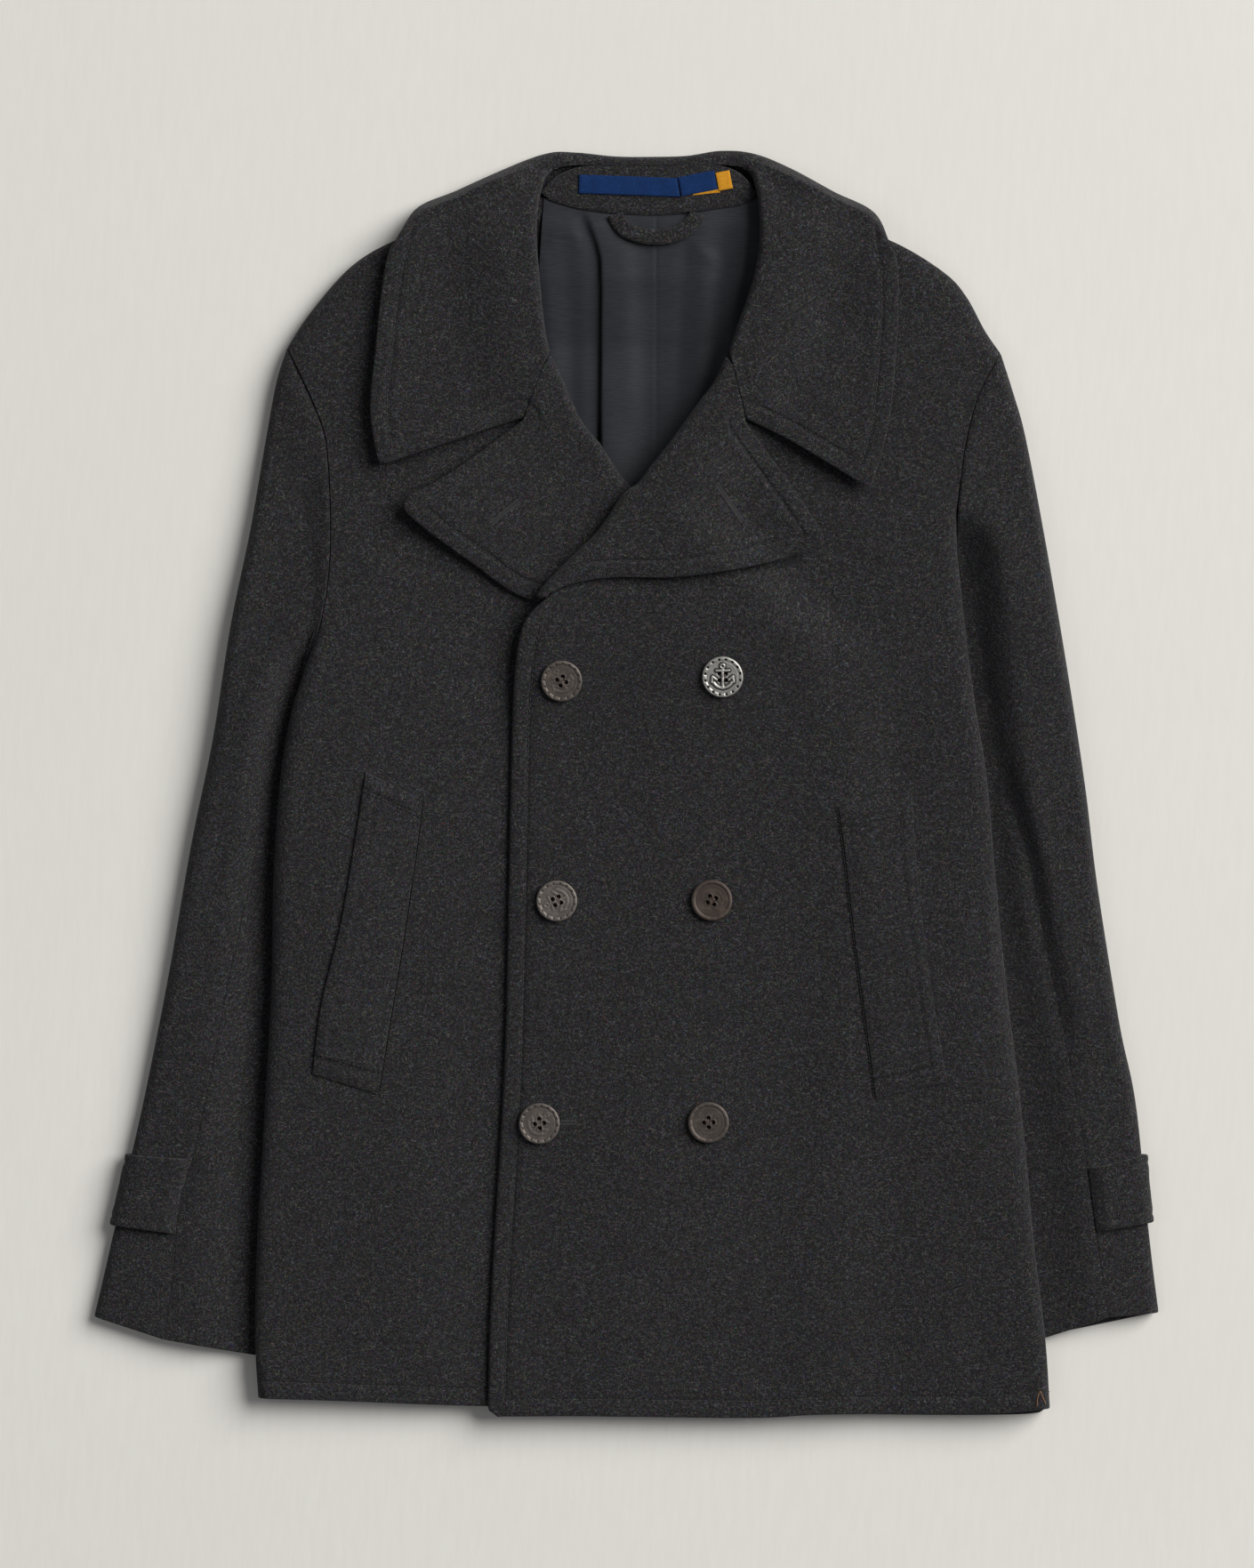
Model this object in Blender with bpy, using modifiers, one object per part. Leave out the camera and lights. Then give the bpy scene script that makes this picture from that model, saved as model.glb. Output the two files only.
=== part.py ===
"""Double-breasted pea coat in heavy wool, laid flat on its back.

The tables are in millimetres and name the wearer's sides: the wearer's right is at -X and the left at +X.
X runs across the coat, Y from the hem to the collar and Z up from the surface that it lies on. Each cloth
piece is a grid shaped by a rule and given its wall with Solidify.
"""

import math

import bmesh
import bpy
import numpy as np
from mathutils import Vector
from mathutils.bvhtree import BVHTree

MM = 0.001
WALL = 2.4  # shell cloth
DOUBLE = 3.6  # two cloths sewn together: collar, lapels, welts, tabs
EDGE_WALL = 4.6  # a front with its facing, along the front edge
LINING_WALL = 1.0
SEAM = 0.3  # between pieces that are sewn together
LINING_LIFT = 2.6  # top of the lining over the back
REST = 0.6  # between curved layers that lie on each other
BAND = 0.8  # upright strip at a seam on a fold
SLEEVE_SEAM = 1.3  # across a sleeve's seams, whose edges lean
ARMHOLE_SEAM = 1.4
FOLD_SEAM = 0.35  # from the middle of a fold to the piece on each side of its seam
INNER_STRIP = 9.0  # last column of a front before its inner edge
LIFT_RAMP = 36.0  # width over which the back comes down beside a sleeve that it lies on
CENTRE_X = 16.0
FOLD_ANGLES = (30, 60, 90)

SLEEVE_UNDER = 7.4  # height of the part of a sleeve that lies under the body
BODY_OVER_SLEEVE = 8.0
BODY_OVER_COLLAR = 4.2
ROLL_RADIUS = 5.7  # of the turned edge of collar and lapel
LIP = 6.0  # flat strip of facing inside that turn
LIP_END = 0.9  # what is left of it where the collar doesn't turn
LIP_STEPS = 4
FRONT_OVER_FRONT = 5.4  # left front above the right one
FRONT_OVER_LAPEL = 12.2  # left front above the right lapel
SHOULDER_FOLD = 12.0
COLLAR_FOLD = 8.0

BUTTON_RADIUS = 13.8
BUTTON_HEIGHT = 3.6
BUTTON_HOLE_RADIUS = 1.1
BUTTON_HOLE_OFFSET = 2.6

# Side edges of the body from the hem to the underarm: x, y
RIGHT_SIDE = [(-248.3, -413.4), (-250.3, -371), (-249, -311), (-243.9, -221), (-239, -131), (-237.9, -66),
              (-233.7, -1), (-226.5, 45), (-217.5, 75.6)]
LEFT_SIDE = [(284.8, -420.4), (281.3, -371), (274.1, -311), (265.5, -221), (254.7, -131), (248.4, -69),
             (242.4, 1), (234.6, 51), (228, 100), (222.1, 157)]
# Armholes from the underarm to the shoulder: x, y
RIGHT_ARMHOLE = [(-217.5, 75.6), (-204.5, 113), (-199, 160), (-201.5, 225), (-210.3, 255), (-228.6, 294)]
LEFT_ARMHOLE = [(222.1, 157), (221.8, 180), (225.3, 214.8), (230.7, 243.2), (238.5, 266.6), (251.5, 290)]
# Shoulders from the armhole to the neck: x, y
RIGHT_SHOULDER = [(-228.6, 294), (-213.3, 317.4), (-185.7, 348.6), (-155.1, 366.6), (-110, 383), (-73, 395.6)]
LEFT_SHOULDER = [(251.5, 290), (240.9, 305.6), (229, 327.6), (214.5, 343.8), (181.3, 364.2), (135, 382), (103.5, 395.2)]
# Back neck seam from the wearer's right to the left: x, y
NECK = [(-72, 396), (-60, 396.4), (-51.9, 393.6), (-34.5, 388.2), (5, 384), (39.9, 384.6), (77, 391.5), (88, 395.4),
        (101, 396)]
# Inner edges of the fronts, front edge and roll line, from the hem to the neck: x, y
LEFT_FRONT_EDGE = [(-93.9, -425.6), (-91.4, -340), (-82.7, -191), (-79.6, -66), (-77.1, 45.6),
                   (-73.5, 92.4), (-67, 112), (-54, 125)]
LEFT_ROLL_EDGE = [(-54, 125), (-28, 151), (-11, 168), (14.5, 200), (38.5, 228), (64.5, 263), (81.5, 307), (92, 345),
                  (97, 364), (103.5, 395.2)]
RIGHT_FRONT_EDGE = [(112, -417), (110.5, -250), (110, -100), (108, 60), (98, 98), (76, 115.5), (57, 123.5)]
RIGHT_ROLL_EDGE = [(57, 123.5), (36, 147), (13, 177), (-10.5, 202), (-27, 229), (-38, 243), (-49.5, 264), (-62.5, 303),
                   (-67.5, 344), (-70, 364), (-73, 395.6)]
# Hems from the side to the front edge: x, y
RIGHT_HEM = [(-248.3, -413.4), (-199, -414.8), (-94.6, -418.8), (10, -420), (112, -417)]
LEFT_HEM = [(284.8, -420.4), (243.3, -423.6), (134, -424.1), (84.3, -426.4), (-15.3, -425.4), (-93.9, -425.6)]
BACK_HEM = [(-248.3, -413.4), (-199, -416), (16, -421), (134, -426.9), (266, -426.9), (284.8, -420.4)]

# Height of one front over the body: y, at the wearer's right side, in the middle, at the left side
BODY_HEIGHTS = [(-427, 18, 13, 18), (-300, 20.5, 14.5, 20.5), (-120, 23, 16.5, 23), (60, 23.5, 17, 23),
                (160, 20, 17, 21.5), (240, 17, 17, 18), (300, 15.5, 17, 16), (400, 14.5, 17, 14.5)]
# Top of the collar and lapels along their roll: y, on the wearer's right, on the left
ROLL_HEIGHTS = [(120, 21.2, 33.4), (204, 21.2, 33.4), (245, 24, 31.5), (290, 27.5, 30.5), (344, 28.3, 30.3),
                (360, 27.6, 29.2), (372, 26, 27), (385, 23.4, 24), (400, 19.8, 20.3)]
# Edge of the right front where the left front lies over it: y, x
OVERLAP_EDGE = [(-427, 114), (60, 110), (100, 100), (120, 74), (160, 38), (204, 0), (243, -30), (290, -50), (400, -60)]
# Hidden inner edge of each sleeve, under the body: y, x on the wearer's right, x on the left
SLEEVE_BEHIND = [(-395, -206, 268), (-300, -182, 232), (-240, -166, 212), (-180, -154, 196), (-120, -147, 184),
                 (-60, -150, 180), (0, -168, 184), (40, -188, 192), (75, -207, 200), (150, -207, 214)]

# Sleeves. Outer edge from the shoulder to the cuff: x, y
RIGHT_OUTER = [(-230.4, 292.8), (-237.5, 270), (-244.2, 233), (-254.7, 170), (-267.6, 106), (-279.3, 30),
               (-293.7, -41), (-309.3, -131), (-327.3, -221), (-345.5, -301), (-359, -358.8)]
LEFT_OUTER = [(253.4, 288.9), (261.9, 261.6), (269.7, 232.8), (282.7, 162.6), (297, 76.8), (308.7, -1),
              (317, -69), (331.7, -161), (342.7, -215), (351.1, -299), (358.2, -356)]
# Back seam of each sleeve from the armhole to the cuff: x, y
RIGHT_SLEEVE_SEAM = [(-216.5, 89), (-226, 60), (-238, 5), (-253, -60), (-268, -131), (-281, -200),
                     (-292.5, -252.6), (-301.5, -284), (-305.5, -330), (-312, -374)]
LEFT_SLEEVE_SEAM = [(222.8, 172), (229.4, 142), (238.5, 95), (248.7, 20), (269.7, -46), (281.1, -104),
                    (297.2, -184), (308.7, -250), (317, -311), (324.3, -359)]
# Where each sleeve comes out from under the body, from the underarm to the cuff: x, y
RIGHT_EMERGING = [(-217, 74.2), (-224.5, 44.5), (-232, -1), (-237.5, -66), (-240.4, -131), (-245.3, -221),
                  (-250.4, -311), (-251.8, -384.6)]
LEFT_EMERGING = [(223.6, 156), (229.6, 100), (236.2, 51), (243.9, 1), (249.9, -69), (256.2, -131),
                 (267, -221), (275.6, -311), (282.4, -373)]
RIGHT_HIDDEN_EDGE = [(-207.3, 108), (-210, 88), (-211, 66), (-207, 40), (-195, 5), (-172, -40), (-155, -82), (-151, -125), (-159, -200),
                     (-184, -290), (-211, -386)]
LEFT_HIDDEN_EDGE = [(219.5, 153), (214, 120), (203, 80), (195, 40), (187, -10), (184, -80), (189, -130), (203, -200),
                    (231, -290), (260, -376)]
# Middle of the underside from the armhole to the cuff: x, y
RIGHT_UNDERSIDE = [(-207, 240), (-222, 160), (-236, 80), (-246, 0), (-254, -80), (-262, -170), (-276, -280), (-288, -378)]
LEFT_UNDERSIDE = [(232, 250), (250, 170), (262, 90), (270, 10), (276, -70), (284, -160), (300, -280), (310, -366)]
# Share of the armhole, from the shoulder, where the back seam and the middle of the underside start
SEAM_START = 0.92
UNDERSIDE_START = 0.27
HIDDEN_START = {"right": 0.85, "left": 1.0}  # the same for the hidden edge
# Height of a sleeve down its length: share of the length, height, depth of the valley at the back seam
RIGHT_SLEEVE_HEIGHTS = [(0, 17, 0), (0.12, 19, 0), (0.35, 20, 1.5), (0.6, 18, 1), (0.8, 16, 0.6), (1, 14, 0.4)]
LEFT_SLEEVE_HEIGHTS = [(0, 18, 0), (0.12, 20, 4), (0.35, 21, 8), (0.6, 19, 6), (0.75, 16.5, 1), (1, 14, 0.4)]

# Lapels from the break to the gorge: x and y on the roll, x and y on the edge, lift off the front
RIGHT_LAPEL = [(68, 123, 58, 121.6, 0), (47, 148, 0, 121.2, 0), (22, 178, -63.5, 123.3, 0.5),
               (-1.1, 204, -105, 148.7, 3), (-9, 215, -145.8, 179.6, 7), (-18.1, 229, -150, 191.5, 9),
               (-29.7, 243, -118.1, 209.4, 5), (-40.1, 264, -70.4, 243.8, 1), (-46.3, 278.6, -64, 257, 0.6),
               (-51, 287.6, -53.2, 281, 0)]
LEFT_LAPEL = [(-61.5, 126.2, -56, 125.4, 0), (-53.1, 136.8, -39.3, 133.2, 0), (-37.5, 152.4, -10.1, 138.2, 1),
              (-19.5, 170.4, 35.7, 138.6, 3), (-3.3, 193.8, 87.7, 147, 6), (6.7, 201.6, 129, 159.4, 10),
              (14.7, 212, 133.2, 166, 11), (30.3, 232, 113, 197, 6), (48.7, 257.5, 80, 242.6, 1),
              (57.8, 269.4, 75, 255.4, 0.6), (66, 286.8, 67.8, 281, 0)]
RIGHT_LAPEL_CORNERS = (5, 7)
LEFT_LAPEL_CORNERS = (6, 8)
# Collar from the wearer's right gorge round the back neck to the left gorge: x, y and height of the roll, degrees
# that its lip turns, x and y of the edge or of the fold over the shoulder, share of that fold, length behind
COLLAR = [
    (-52, 291, 27.5, 180, -70.2, 246, 0, 0), (-54.5, 303, 27.9, 180, -111, 232.6, 0, 0),
    (-57, 322, 28.3, 180, -167, 213.5, 0, 0), (-58.6, 340, 28.5, 180, -172.6, 250, 0, 0),
    (-60, 357, 28, 180, -169.3, 290, 0, 0), (-60.5, 372, 26.7, 180, -165, 330, 0, 0),
    (-60, 385, 24.4, 180, -159, 360, 0, 0), (-58.2, 396, 21.5, 180, -144, 383, 0.55, 0),
    (-56, 405, 18, 150, -118, 394.5, 1, 26), (-53, 411, 14.5, 100, -86, 409.5, 1, 62),
    (-47, 413.5, 11.5, 45, -55, 424.4, 1, 76), (-32, 412, 10, 0, -34, 425.6, 1, 77),
    (-8, 411.5, 10, 0, -8, 423, 1, 76), (16, 411.5, 10, 0, 16, 422.7, 1, 76), (40, 411.6, 10, 0, 40, 423.4, 1, 76),
    (62, 412.2, 10, 0, 63, 426.8, 1, 77), (77, 414, 11.5, 45, 86, 424.2, 1, 76),
    (83, 411, 14.5, 100, 113, 410.5, 1, 62), (86, 403, 18.5, 150, 142, 394, 1, 26),
    (88, 392, 23, 180, 169, 380, 0.55, 0), (88.9, 379, 26.5, 180, 180.4, 355, 0, 0),
    (88.8, 365, 29.3, 180, 182.4, 330, 0, 0), (87, 350, 30.3, 180, 180.8, 290, 0, 0),
    (83.5, 336, 30.5, 180, 175.5, 240, 0, 0), (79, 322, 30.5, 180, 163.5, 198, 0, 0),
    (73.5, 307, 30.5, 180, 113.7, 228, 0, 0), (68.4, 291, 30.5, 180, 80.2, 244.8, 0, 0)]
COLLAR_CORNERS = (2, 24)
COLLAR_HALVES = (0.5, 1.5, 6.5, 7.5, 8.5, 9.5, 10.5, 15.5, 16.5, 17.5, 18.5, 19.5, 24.5, 25.5)  # more sections
COLLAR_LIFT = 6.0

# Stand inside the neck from the wearer's right to the left: x and y at the neck seam, x and y at the collar's fold
STAND = [(-58, 398.2, -57, 399.8), (-52, 395.6, -52, 404), (-44, 393, -44, 409.6), (-30, 389.4, -30, 414.6),
         (-8, 386.8, -8, 415.2), (16, 385.6, 16, 415.2), (40, 387, 40, 415.4), (60, 390.2, 60, 415.6),
         (72, 391.6, 72, 412), (80, 393.8, 80, 406.6), (87, 396.4, 86.6, 398.8)]
STAND_BASE = 6.2
STAND_TOP = 9.8

# Buttons: x, y
BUTTONS = [(-43.9, 69.4), (-47.2, -78.5), (-58.9, -228), (64.1, 72.2), (56.9, -78.1), (54.7, -227.3)]
# Pocket welts from the top to the bottom: x and y at the seam, x and y at the opening
RIGHT_WELT = [(-137.1, -10.2, -175.7, 8.4), (-140.1, -35, -181.5, -30), (-148.8, -96, -192, -92),
              (-156.9, -146, -205.5, -148), (-167.1, -208.8, -211.5, -195)]
LEFT_WELT = [(142.1, -15.6, 191.6, -5), (146.6, -50, 194.3, -53), (153.5, -108, 201, -112),
             (160.4, -160, 208, -160), (167.1, -211.8, 215.1, -200)]
# Cuff tabs: share of the sleeve's length at the top edge and at the bottom edge, reach from the seam round the edge
TABS = {"right": (0.831, 0.9055, 78.0), "left": (0.836, 0.907, 74.0)}
# How much later the other lines of a sleeve run than its outer fold, so that its sections lie straight across
SLANTS = {"right": 0.66, "left": 0.17}
UNDERSIDE_SLANT = 0.2
TAB_LIFT = 4.5

LOOP = [(-14.1, 381.5), (-2, 370), (20.1, 362.6), (42, 368.5), (54.9, 380)]
LOOP_WIDTH = 9.0
LOOP_THICKNESS = 2.0
# Labels on the stand: x and y of the lower left corner, width, height, turn in degrees
LABELS = {"maker_label": (-32.7, 397.5, 65.6, 12.9, -2), "size_label": (36.6, 395.5, 25, 13.3, 11),
          "size_tab": (61.9, 399.5, 9.2, 11.4, 11)}

FINISHES = {  # colour, roughness, metallic
    "wool": ((0.024, 0.024, 0.026), 0.95, 0.0),
    "lining": ((0.027, 0.034, 0.05), 0.45, 0.0),
    "pewter": ((0.14, 0.12, 0.105), 0.42, 0.85),
    "label": ((0.012, 0.026, 0.13), 0.7, 0.0),
    "tab": ((0.75, 0.42, 0.05), 0.7, 0.0),
}


def step(low, high, x):
    """0 up to low, 1 from high on, and smooth between; low may be the greater one."""
    t = min(max((x - low) / (high - low), 0.0), 1.0)
    return t * t * (3 - 2 * t)


def through(rows, column, x):
    """A column of a table, read at x in its first column by cubic curves through its rows."""
    xs = [row[0] for row in rows]
    ys = [row[column] for row in rows]
    slopes = np.gradient(ys, xs)
    k = int(np.clip(np.searchsorted(xs, x) - 1, 0, len(xs) - 2))
    width = xs[k + 1] - xs[k]
    t = min(max((x - xs[k]) / width, 0.0), 1.0)
    rise = (2 * t**3 - 3 * t**2 + 1) * ys[k] + (3 * t**2 - 2 * t**3) * ys[k + 1]
    return rise + width * ((t**3 - 2 * t**2 + t) * slopes[k] + (t**3 - t**2) * slopes[k + 1])


def section(rows, s, corners=()):
    """Row number s of a table, where s may lie between rows; the rows in corners stay sharp."""
    k = min(int(s), len(rows) - 2)
    t = s - k
    b, c = np.array(rows[k], float), np.array(rows[k + 1], float)
    a = 2 * b - c if k == 0 or k in corners else np.array(rows[k - 1], float)
    d = 2 * c - b if k + 2 == len(rows) or k + 1 in corners else np.array(rows[k + 2], float)
    return 0.5 * (2 * b + (c - a) * t + (2 * a - 5 * b + 4 * c - d) * t**2 + (3 * b - a - 3 * c + d) * t**3)


class Line:
    """A smooth line through points, read by the share of its length."""

    def __init__(self, points):
        shares = np.linspace(0, len(points) - 1, 16 * (len(points) - 1) + 1)
        self.points = np.array([section(points, s) for s in shares])
        runs = np.linalg.norm(np.diff(self.points, axis=0), axis=1)
        self.along = np.concatenate([[0], np.cumsum(runs)])
        self.length = self.along[-1]

    def __call__(self, share):
        at = share * self.length
        return np.array([np.interp(at, self.along, self.points[:, i]) for i in range(self.points.shape[1])])

    def distance(self, x, y):
        return float(np.min(np.hypot(self.points[:, 0] - x, self.points[:, 1] - y)))


def joined(*runs):
    """One line along several that meet, with the share of its length where the first one ends."""
    whole, *others = [Line(run) for run in runs]
    first = whole.length
    for line in others:
        whole.points = np.vstack([whole.points, line.points[1:]])
        whole.along = np.concatenate([whole.along, whole.along[-1] + line.along[1:]])
    whole.length = whole.along[-1]
    return whole, first / whole.length


ROLLS = {"right": Line([row[:2] for row in RIGHT_LAPEL] + [row[:2] for row in COLLAR[:8]]),
         "left": Line([row[:2] for row in LEFT_LAPEL] + [row[:2] for row in COLLAR[:18:-1]])}


# Heights of the layers, each as a rule over x and y

def body_height(x, y):
    """Top of a single front."""
    side = 1 if x < CENTRE_X else 3
    middle = through(BODY_HEIGHTS, 2, y)
    return middle + (through(BODY_HEIGHTS, side, y) - middle) * step(70, 225, abs(x - CENTRE_X))


def roll_share(side, x, y):
    return step(64, 15, ROLLS[side].distance(x, y)) * step(404, 376, y)


def right_front_height(x, y):
    base = body_height(x, y)
    at_roll = through(ROLL_HEIGHTS, 1, y) - DOUBLE - REST
    return base + max(at_roll - base, 0) * roll_share("right", x, y) * step(190, 215, y)


def left_front_height(x, y):
    base = body_height(x, y)
    edge = through(OVERLAP_EDGE, 1, y)
    raised = FRONT_OVER_FRONT + (FRONT_OVER_LAPEL - FRONT_OVER_FRONT) * step(20, 110, y)
    overlap = raised * step(edge + 70, edge + 9, x)
    at_roll = through(ROLL_HEIGHTS, 2, y) - DOUBLE - REST
    roll = max(at_roll - base, 0) * roll_share("left", x, y) * step(108, 124, y)
    return base + max(overlap, roll)


def ramp(low, high, x):
    """0 up to low, 1 from high on, and straight between."""
    return min(max((x - low) / (high - low), 0.0), 1.0)


def back_height(x, y):
    """Underside of the back, lifted where a sleeve or the collar lies under it."""
    right_edge = through(SLEEVE_BEHIND, 1, y) + 6
    left_edge = through(SLEEVE_BEHIND, 2, y) - 6
    right = ramp(right_edge + LIFT_RAMP, right_edge, x) * ramp(142, 106, y) * ramp(-415, -393, y)
    left = ramp(left_edge - LIFT_RAMP, left_edge, x) * ramp(195, 160, y) * ramp(-420, -389, y)
    collar = ramp(296, 340, y) * ramp(210, 180, abs(x - CENTRE_X))
    return max(BODY_OVER_SLEEVE * max(right, left), BODY_OVER_COLLAR * collar)


def fold_share(distance, radius):
    """Share of the full height that a rounded fold has at a distance from its edge."""
    t = min(max(distance / radius, 0.0), 1.0)
    return math.sqrt(1 - (1 - t) ** 2)


def fold_stations(radius, closed):
    """Distances in from a fold's edge, after a short upright band, with the share of the height at each."""
    stations = [(0.0, 0.0), ((1 - closed) * BAND, 0.1)]
    for angle in FOLD_ANGLES:
        stations.append((radius * (1 - math.cos(math.radians(angle))), math.sin(math.radians(angle))))
    return stations


# Making solids

def paint(obj, kind):
    colour, roughness, metallic = FINISHES[kind]
    material = bpy.data.materials.new(f"{obj.name}_{kind}")
    material.use_nodes = True
    shader = material.node_tree.nodes["Principled BSDF"]
    shader.inputs["Base Color"].default_value = (*colour, 1)
    shader.inputs["Roughness"].default_value = roughness
    shader.inputs["Metallic"].default_value = metallic
    obj.data.materials.append(material)


def add_mesh(name, bm, kind):
    mesh = bpy.data.meshes.new(name)
    bm.to_mesh(mesh)
    bm.free()
    mesh.shade_smooth()
    obj = bpy.data.objects.new(name, mesh)
    COAT.objects.link(obj)
    paint(obj, kind)
    return obj


def cloth(name, rows, wall, kind="wool", out=-1, thick_edge=None, even=True):
    """Cloth through rows of points (x, y, z in mm), their outer side where rows run to the left of columns."""
    across, along = len(rows[0]), len(rows)
    bm = bmesh.new()
    bmesh.ops.create_grid(bm, x_segments=across - 1, y_segments=along - 1, size=0.5)
    stations = {}
    for vert in bm.verts:
        i = round((vert.co.x + 0.5) * (across - 1))
        j = round((vert.co.y + 0.5) * (along - 1))
        stations[vert] = (j, i)
    for vert, (j, i) in stations.items():
        vert.co = Vector(rows[j][i]) * MM
    bm.verts.index_update()
    order = [stations[vert] for vert in bm.verts]
    obj = add_mesh(name, bm, kind)
    solid = obj.modifiers.new("wall", "SOLIDIFY")
    solid.thickness = wall * MM
    solid.offset = out
    solid.use_even_offset = even
    if thick_edge:
        group = obj.vertex_groups.new(name="thickness")
        for index, (j, i) in enumerate(order):
            group.add([index], thick_edge[j][i], "REPLACE")
        solid.vertex_group = "thickness"
    return obj


def turned_over(rows):
    """The same cloth with its outer side the other way."""
    return [row[::-1] for row in rows]


# Body

def panel(outer, inner, hem, top):
    """Plan of a panel between four lines: u runs from outer to inner, v from the hem to the top."""
    def at(u, v):
        ruled = (1 - u) * outer(v) + u * inner(v) + (1 - v) * hem(u) + v * top(u)
        corners = (1 - v) * ((1 - u) * outer(0) + u * inner(0)) + v * ((1 - u) * outer(1) + u * inner(1))
        return ruled - corners
    return at


def length_rows(underarm, breaking, count_high):
    """Shares up a panel: the side with the break, the armhole, then the fold over the shoulder as distances from it."""
    low = [0, 0.033, 0.056] + list(np.linspace(0.11, breaking - 0.03, 6)) + [breaking]
    low += list(np.linspace(breaking, underarm, max(2, round((underarm - breaking) / 0.075) + 1)))[1:]
    high = list(np.linspace(underarm, 0.972, count_high + 1))[1:]
    fold = [("from top", distance, share) for distance, share in reversed(fold_stations(SHOULDER_FOLD, 1))]
    return [("share", v, 1.0) for v in low + high] + fold


def front(name, side, armhole, edge, roll, hem, shoulder, height, edge_x):
    outer, underarm = joined(side, armhole)
    inner, breaking = joined(edge, roll)
    plan = panel(outer, inner, Line(hem), Line(shoulder))
    rows, walls = [], []
    for kind, value, top_share in length_rows(underarm, breaking, 5 if underarm > 0.75 else 7):
        v = value if kind == "share" else 1 - value / outer.length
        closed = step(underarm + 0.07, underarm, v)
        radius = 14 - 5 * step(underarm, 0, v)
        width = np.linalg.norm(outer(v) - inner(v))
        stations = fold_stations(radius, closed)
        start = stations[-1][0]
        count = 8
        stations += [(start + (width - INNER_STRIP - start) * k / count, 1.0) for k in range(1, count + 1)]
        stations.append((width, 1.0))
        row, wall = [], []
        for distance, side_share in stations:
            u = distance / width
            length = (1 - u) * outer.length + u * inner.length
            at_v = v if kind == "share" else 1 - value / length
            x, y = plan(u, at_v)
            share = (1 - closed * (1 - side_share)) * top_share
            top = height(x, y)
            middle = (back_height(x, y) + body_height(x, y)) / 2 + FOLD_SEAM
            row.append((x, y, middle + (top - middle) * share))
            faced = step(75, 40, abs(x - edge_x)) * step(112, 92, y)
            wall.append((WALL + (EDGE_WALL - WALL) * faced) / EDGE_WALL)
        rows.append(row)
        walls.append(wall)
    if side[0][0] > inner(0)[0]:
        rows, walls = turned_over(rows), turned_over(walls)
    return cloth(name, rows, EDGE_WALL, thick_edge=walls)


def lift_stations(fold_end, lifted):
    """Distances in from a side of the back over which it lies on a sleeve and comes down beside it."""
    lifted = max(lifted, fold_end + 12)
    return [(fold_end + lifted) / 2, lifted, lifted + LIFT_RAMP / 2, lifted + LIFT_RAMP]


def back():
    right, right_underarm = joined(RIGHT_SIDE, RIGHT_ARMHOLE)
    left, left_underarm = joined(LEFT_SIDE, LEFT_ARMHOLE)
    top, _ = joined(RIGHT_SHOULDER, NECK, LEFT_SHOULDER[::-1])
    plan = panel(right, left, Line(BACK_HEM), top)
    rows = []
    for kind, value, top_share in length_rows(right_underarm, right_underarm - 0.08, 8):
        v = value if kind == "share" else 1 - value / right.length
        width = np.linalg.norm(right(v) - left(v))
        closed_right = step(right_underarm + 0.07, right_underarm, v)
        closed_left = step(left_underarm + 0.07, left_underarm, v)
        near_right = fold_stations(14 - 5 * step(right_underarm, 0, v), closed_right)
        near_left = fold_stations(14 - 5 * step(left_underarm, 0, v), closed_left)
        on_right = lift_stations(near_right[-1][0], through(SLEEVE_BEHIND, 1, right(v)[1]) + 6 - right(v)[0])
        on_left = lift_stations(near_left[-1][0], left(v)[0] + 6 - through(SLEEVE_BEHIND, 2, left(v)[1]))
        start, end = on_right[-1], width - on_left[-1]
        count = 4
        stations = [(d, 1 - closed_right * (1 - share)) for d, share in near_right]
        stations += [(d, 1.0) for d in on_right]
        stations += [(start + (end - start) * k / count, 1.0) for k in range(1, count)]
        stations += [(width - d, 1.0) for d in reversed(on_left)]
        stations += [(width - d, 1 - closed_left * (1 - share)) for d, share in reversed(near_left)]
        row = []
        for distance, side_share in stations:
            u = distance / width
            at_v = v if kind == "share" else 1 - value / (right.length + 90 * math.sin(math.pi * u))
            x, y = plan(u, at_v)
            open_neck = step(96, 78, abs(x - CENTRE_X))
            share = side_share * (top_share + (1 - top_share) * open_neck)
            under = back_height(x, y)
            middle = (under + body_height(x, y)) / 2 - FOLD_SEAM
            row.append((x, y, middle - (middle - under) * share))
        rows.append(row)
    return cloth("back", turned_over(rows), WALL)


def back_lining():
    """Lining where it shows in the neck opening, and a margin under the lapels."""
    neck = Line(NECK)
    bottom = 98.0
    rows = []
    for level in (98, 150, 200, 250, 296, 318, 340, 362, 380, 391):
        row = []
        for across in np.linspace(0.16, 0.94, 10):
            top_x, top_y = neck(across)
            share = (level - bottom) / (391 - bottom)
            x = top_x + (top_x - CENTRE_X) * 0.3 * (1 - share)
            y = level + (top_y - SEAM - 391) * step(340, 391, level)
            row.append((x, y, back_height(x, y) + WALL + LINING_LIFT))
        rows.append(row)
    return cloth("back_lining", rows, LINING_WALL, "lining")


class Surface:
    """The outer side of a cloth piece, for what lies on it."""

    def __init__(self, obj, rule):
        bm = bmesh.new()
        bm.from_mesh(obj.data)
        self.tree = BVHTree.FromBMesh(bm)
        bm.free()
        self.rule = rule

    def __call__(self, x, y):
        hit = self.tree.ray_cast(Vector((x, y, 100)) * MM, Vector((0, 0, -1)))[0]
        return max(hit.z / MM, self.rule(x, y)) if hit else self.rule(x, y)


# Collar and lapels

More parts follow.
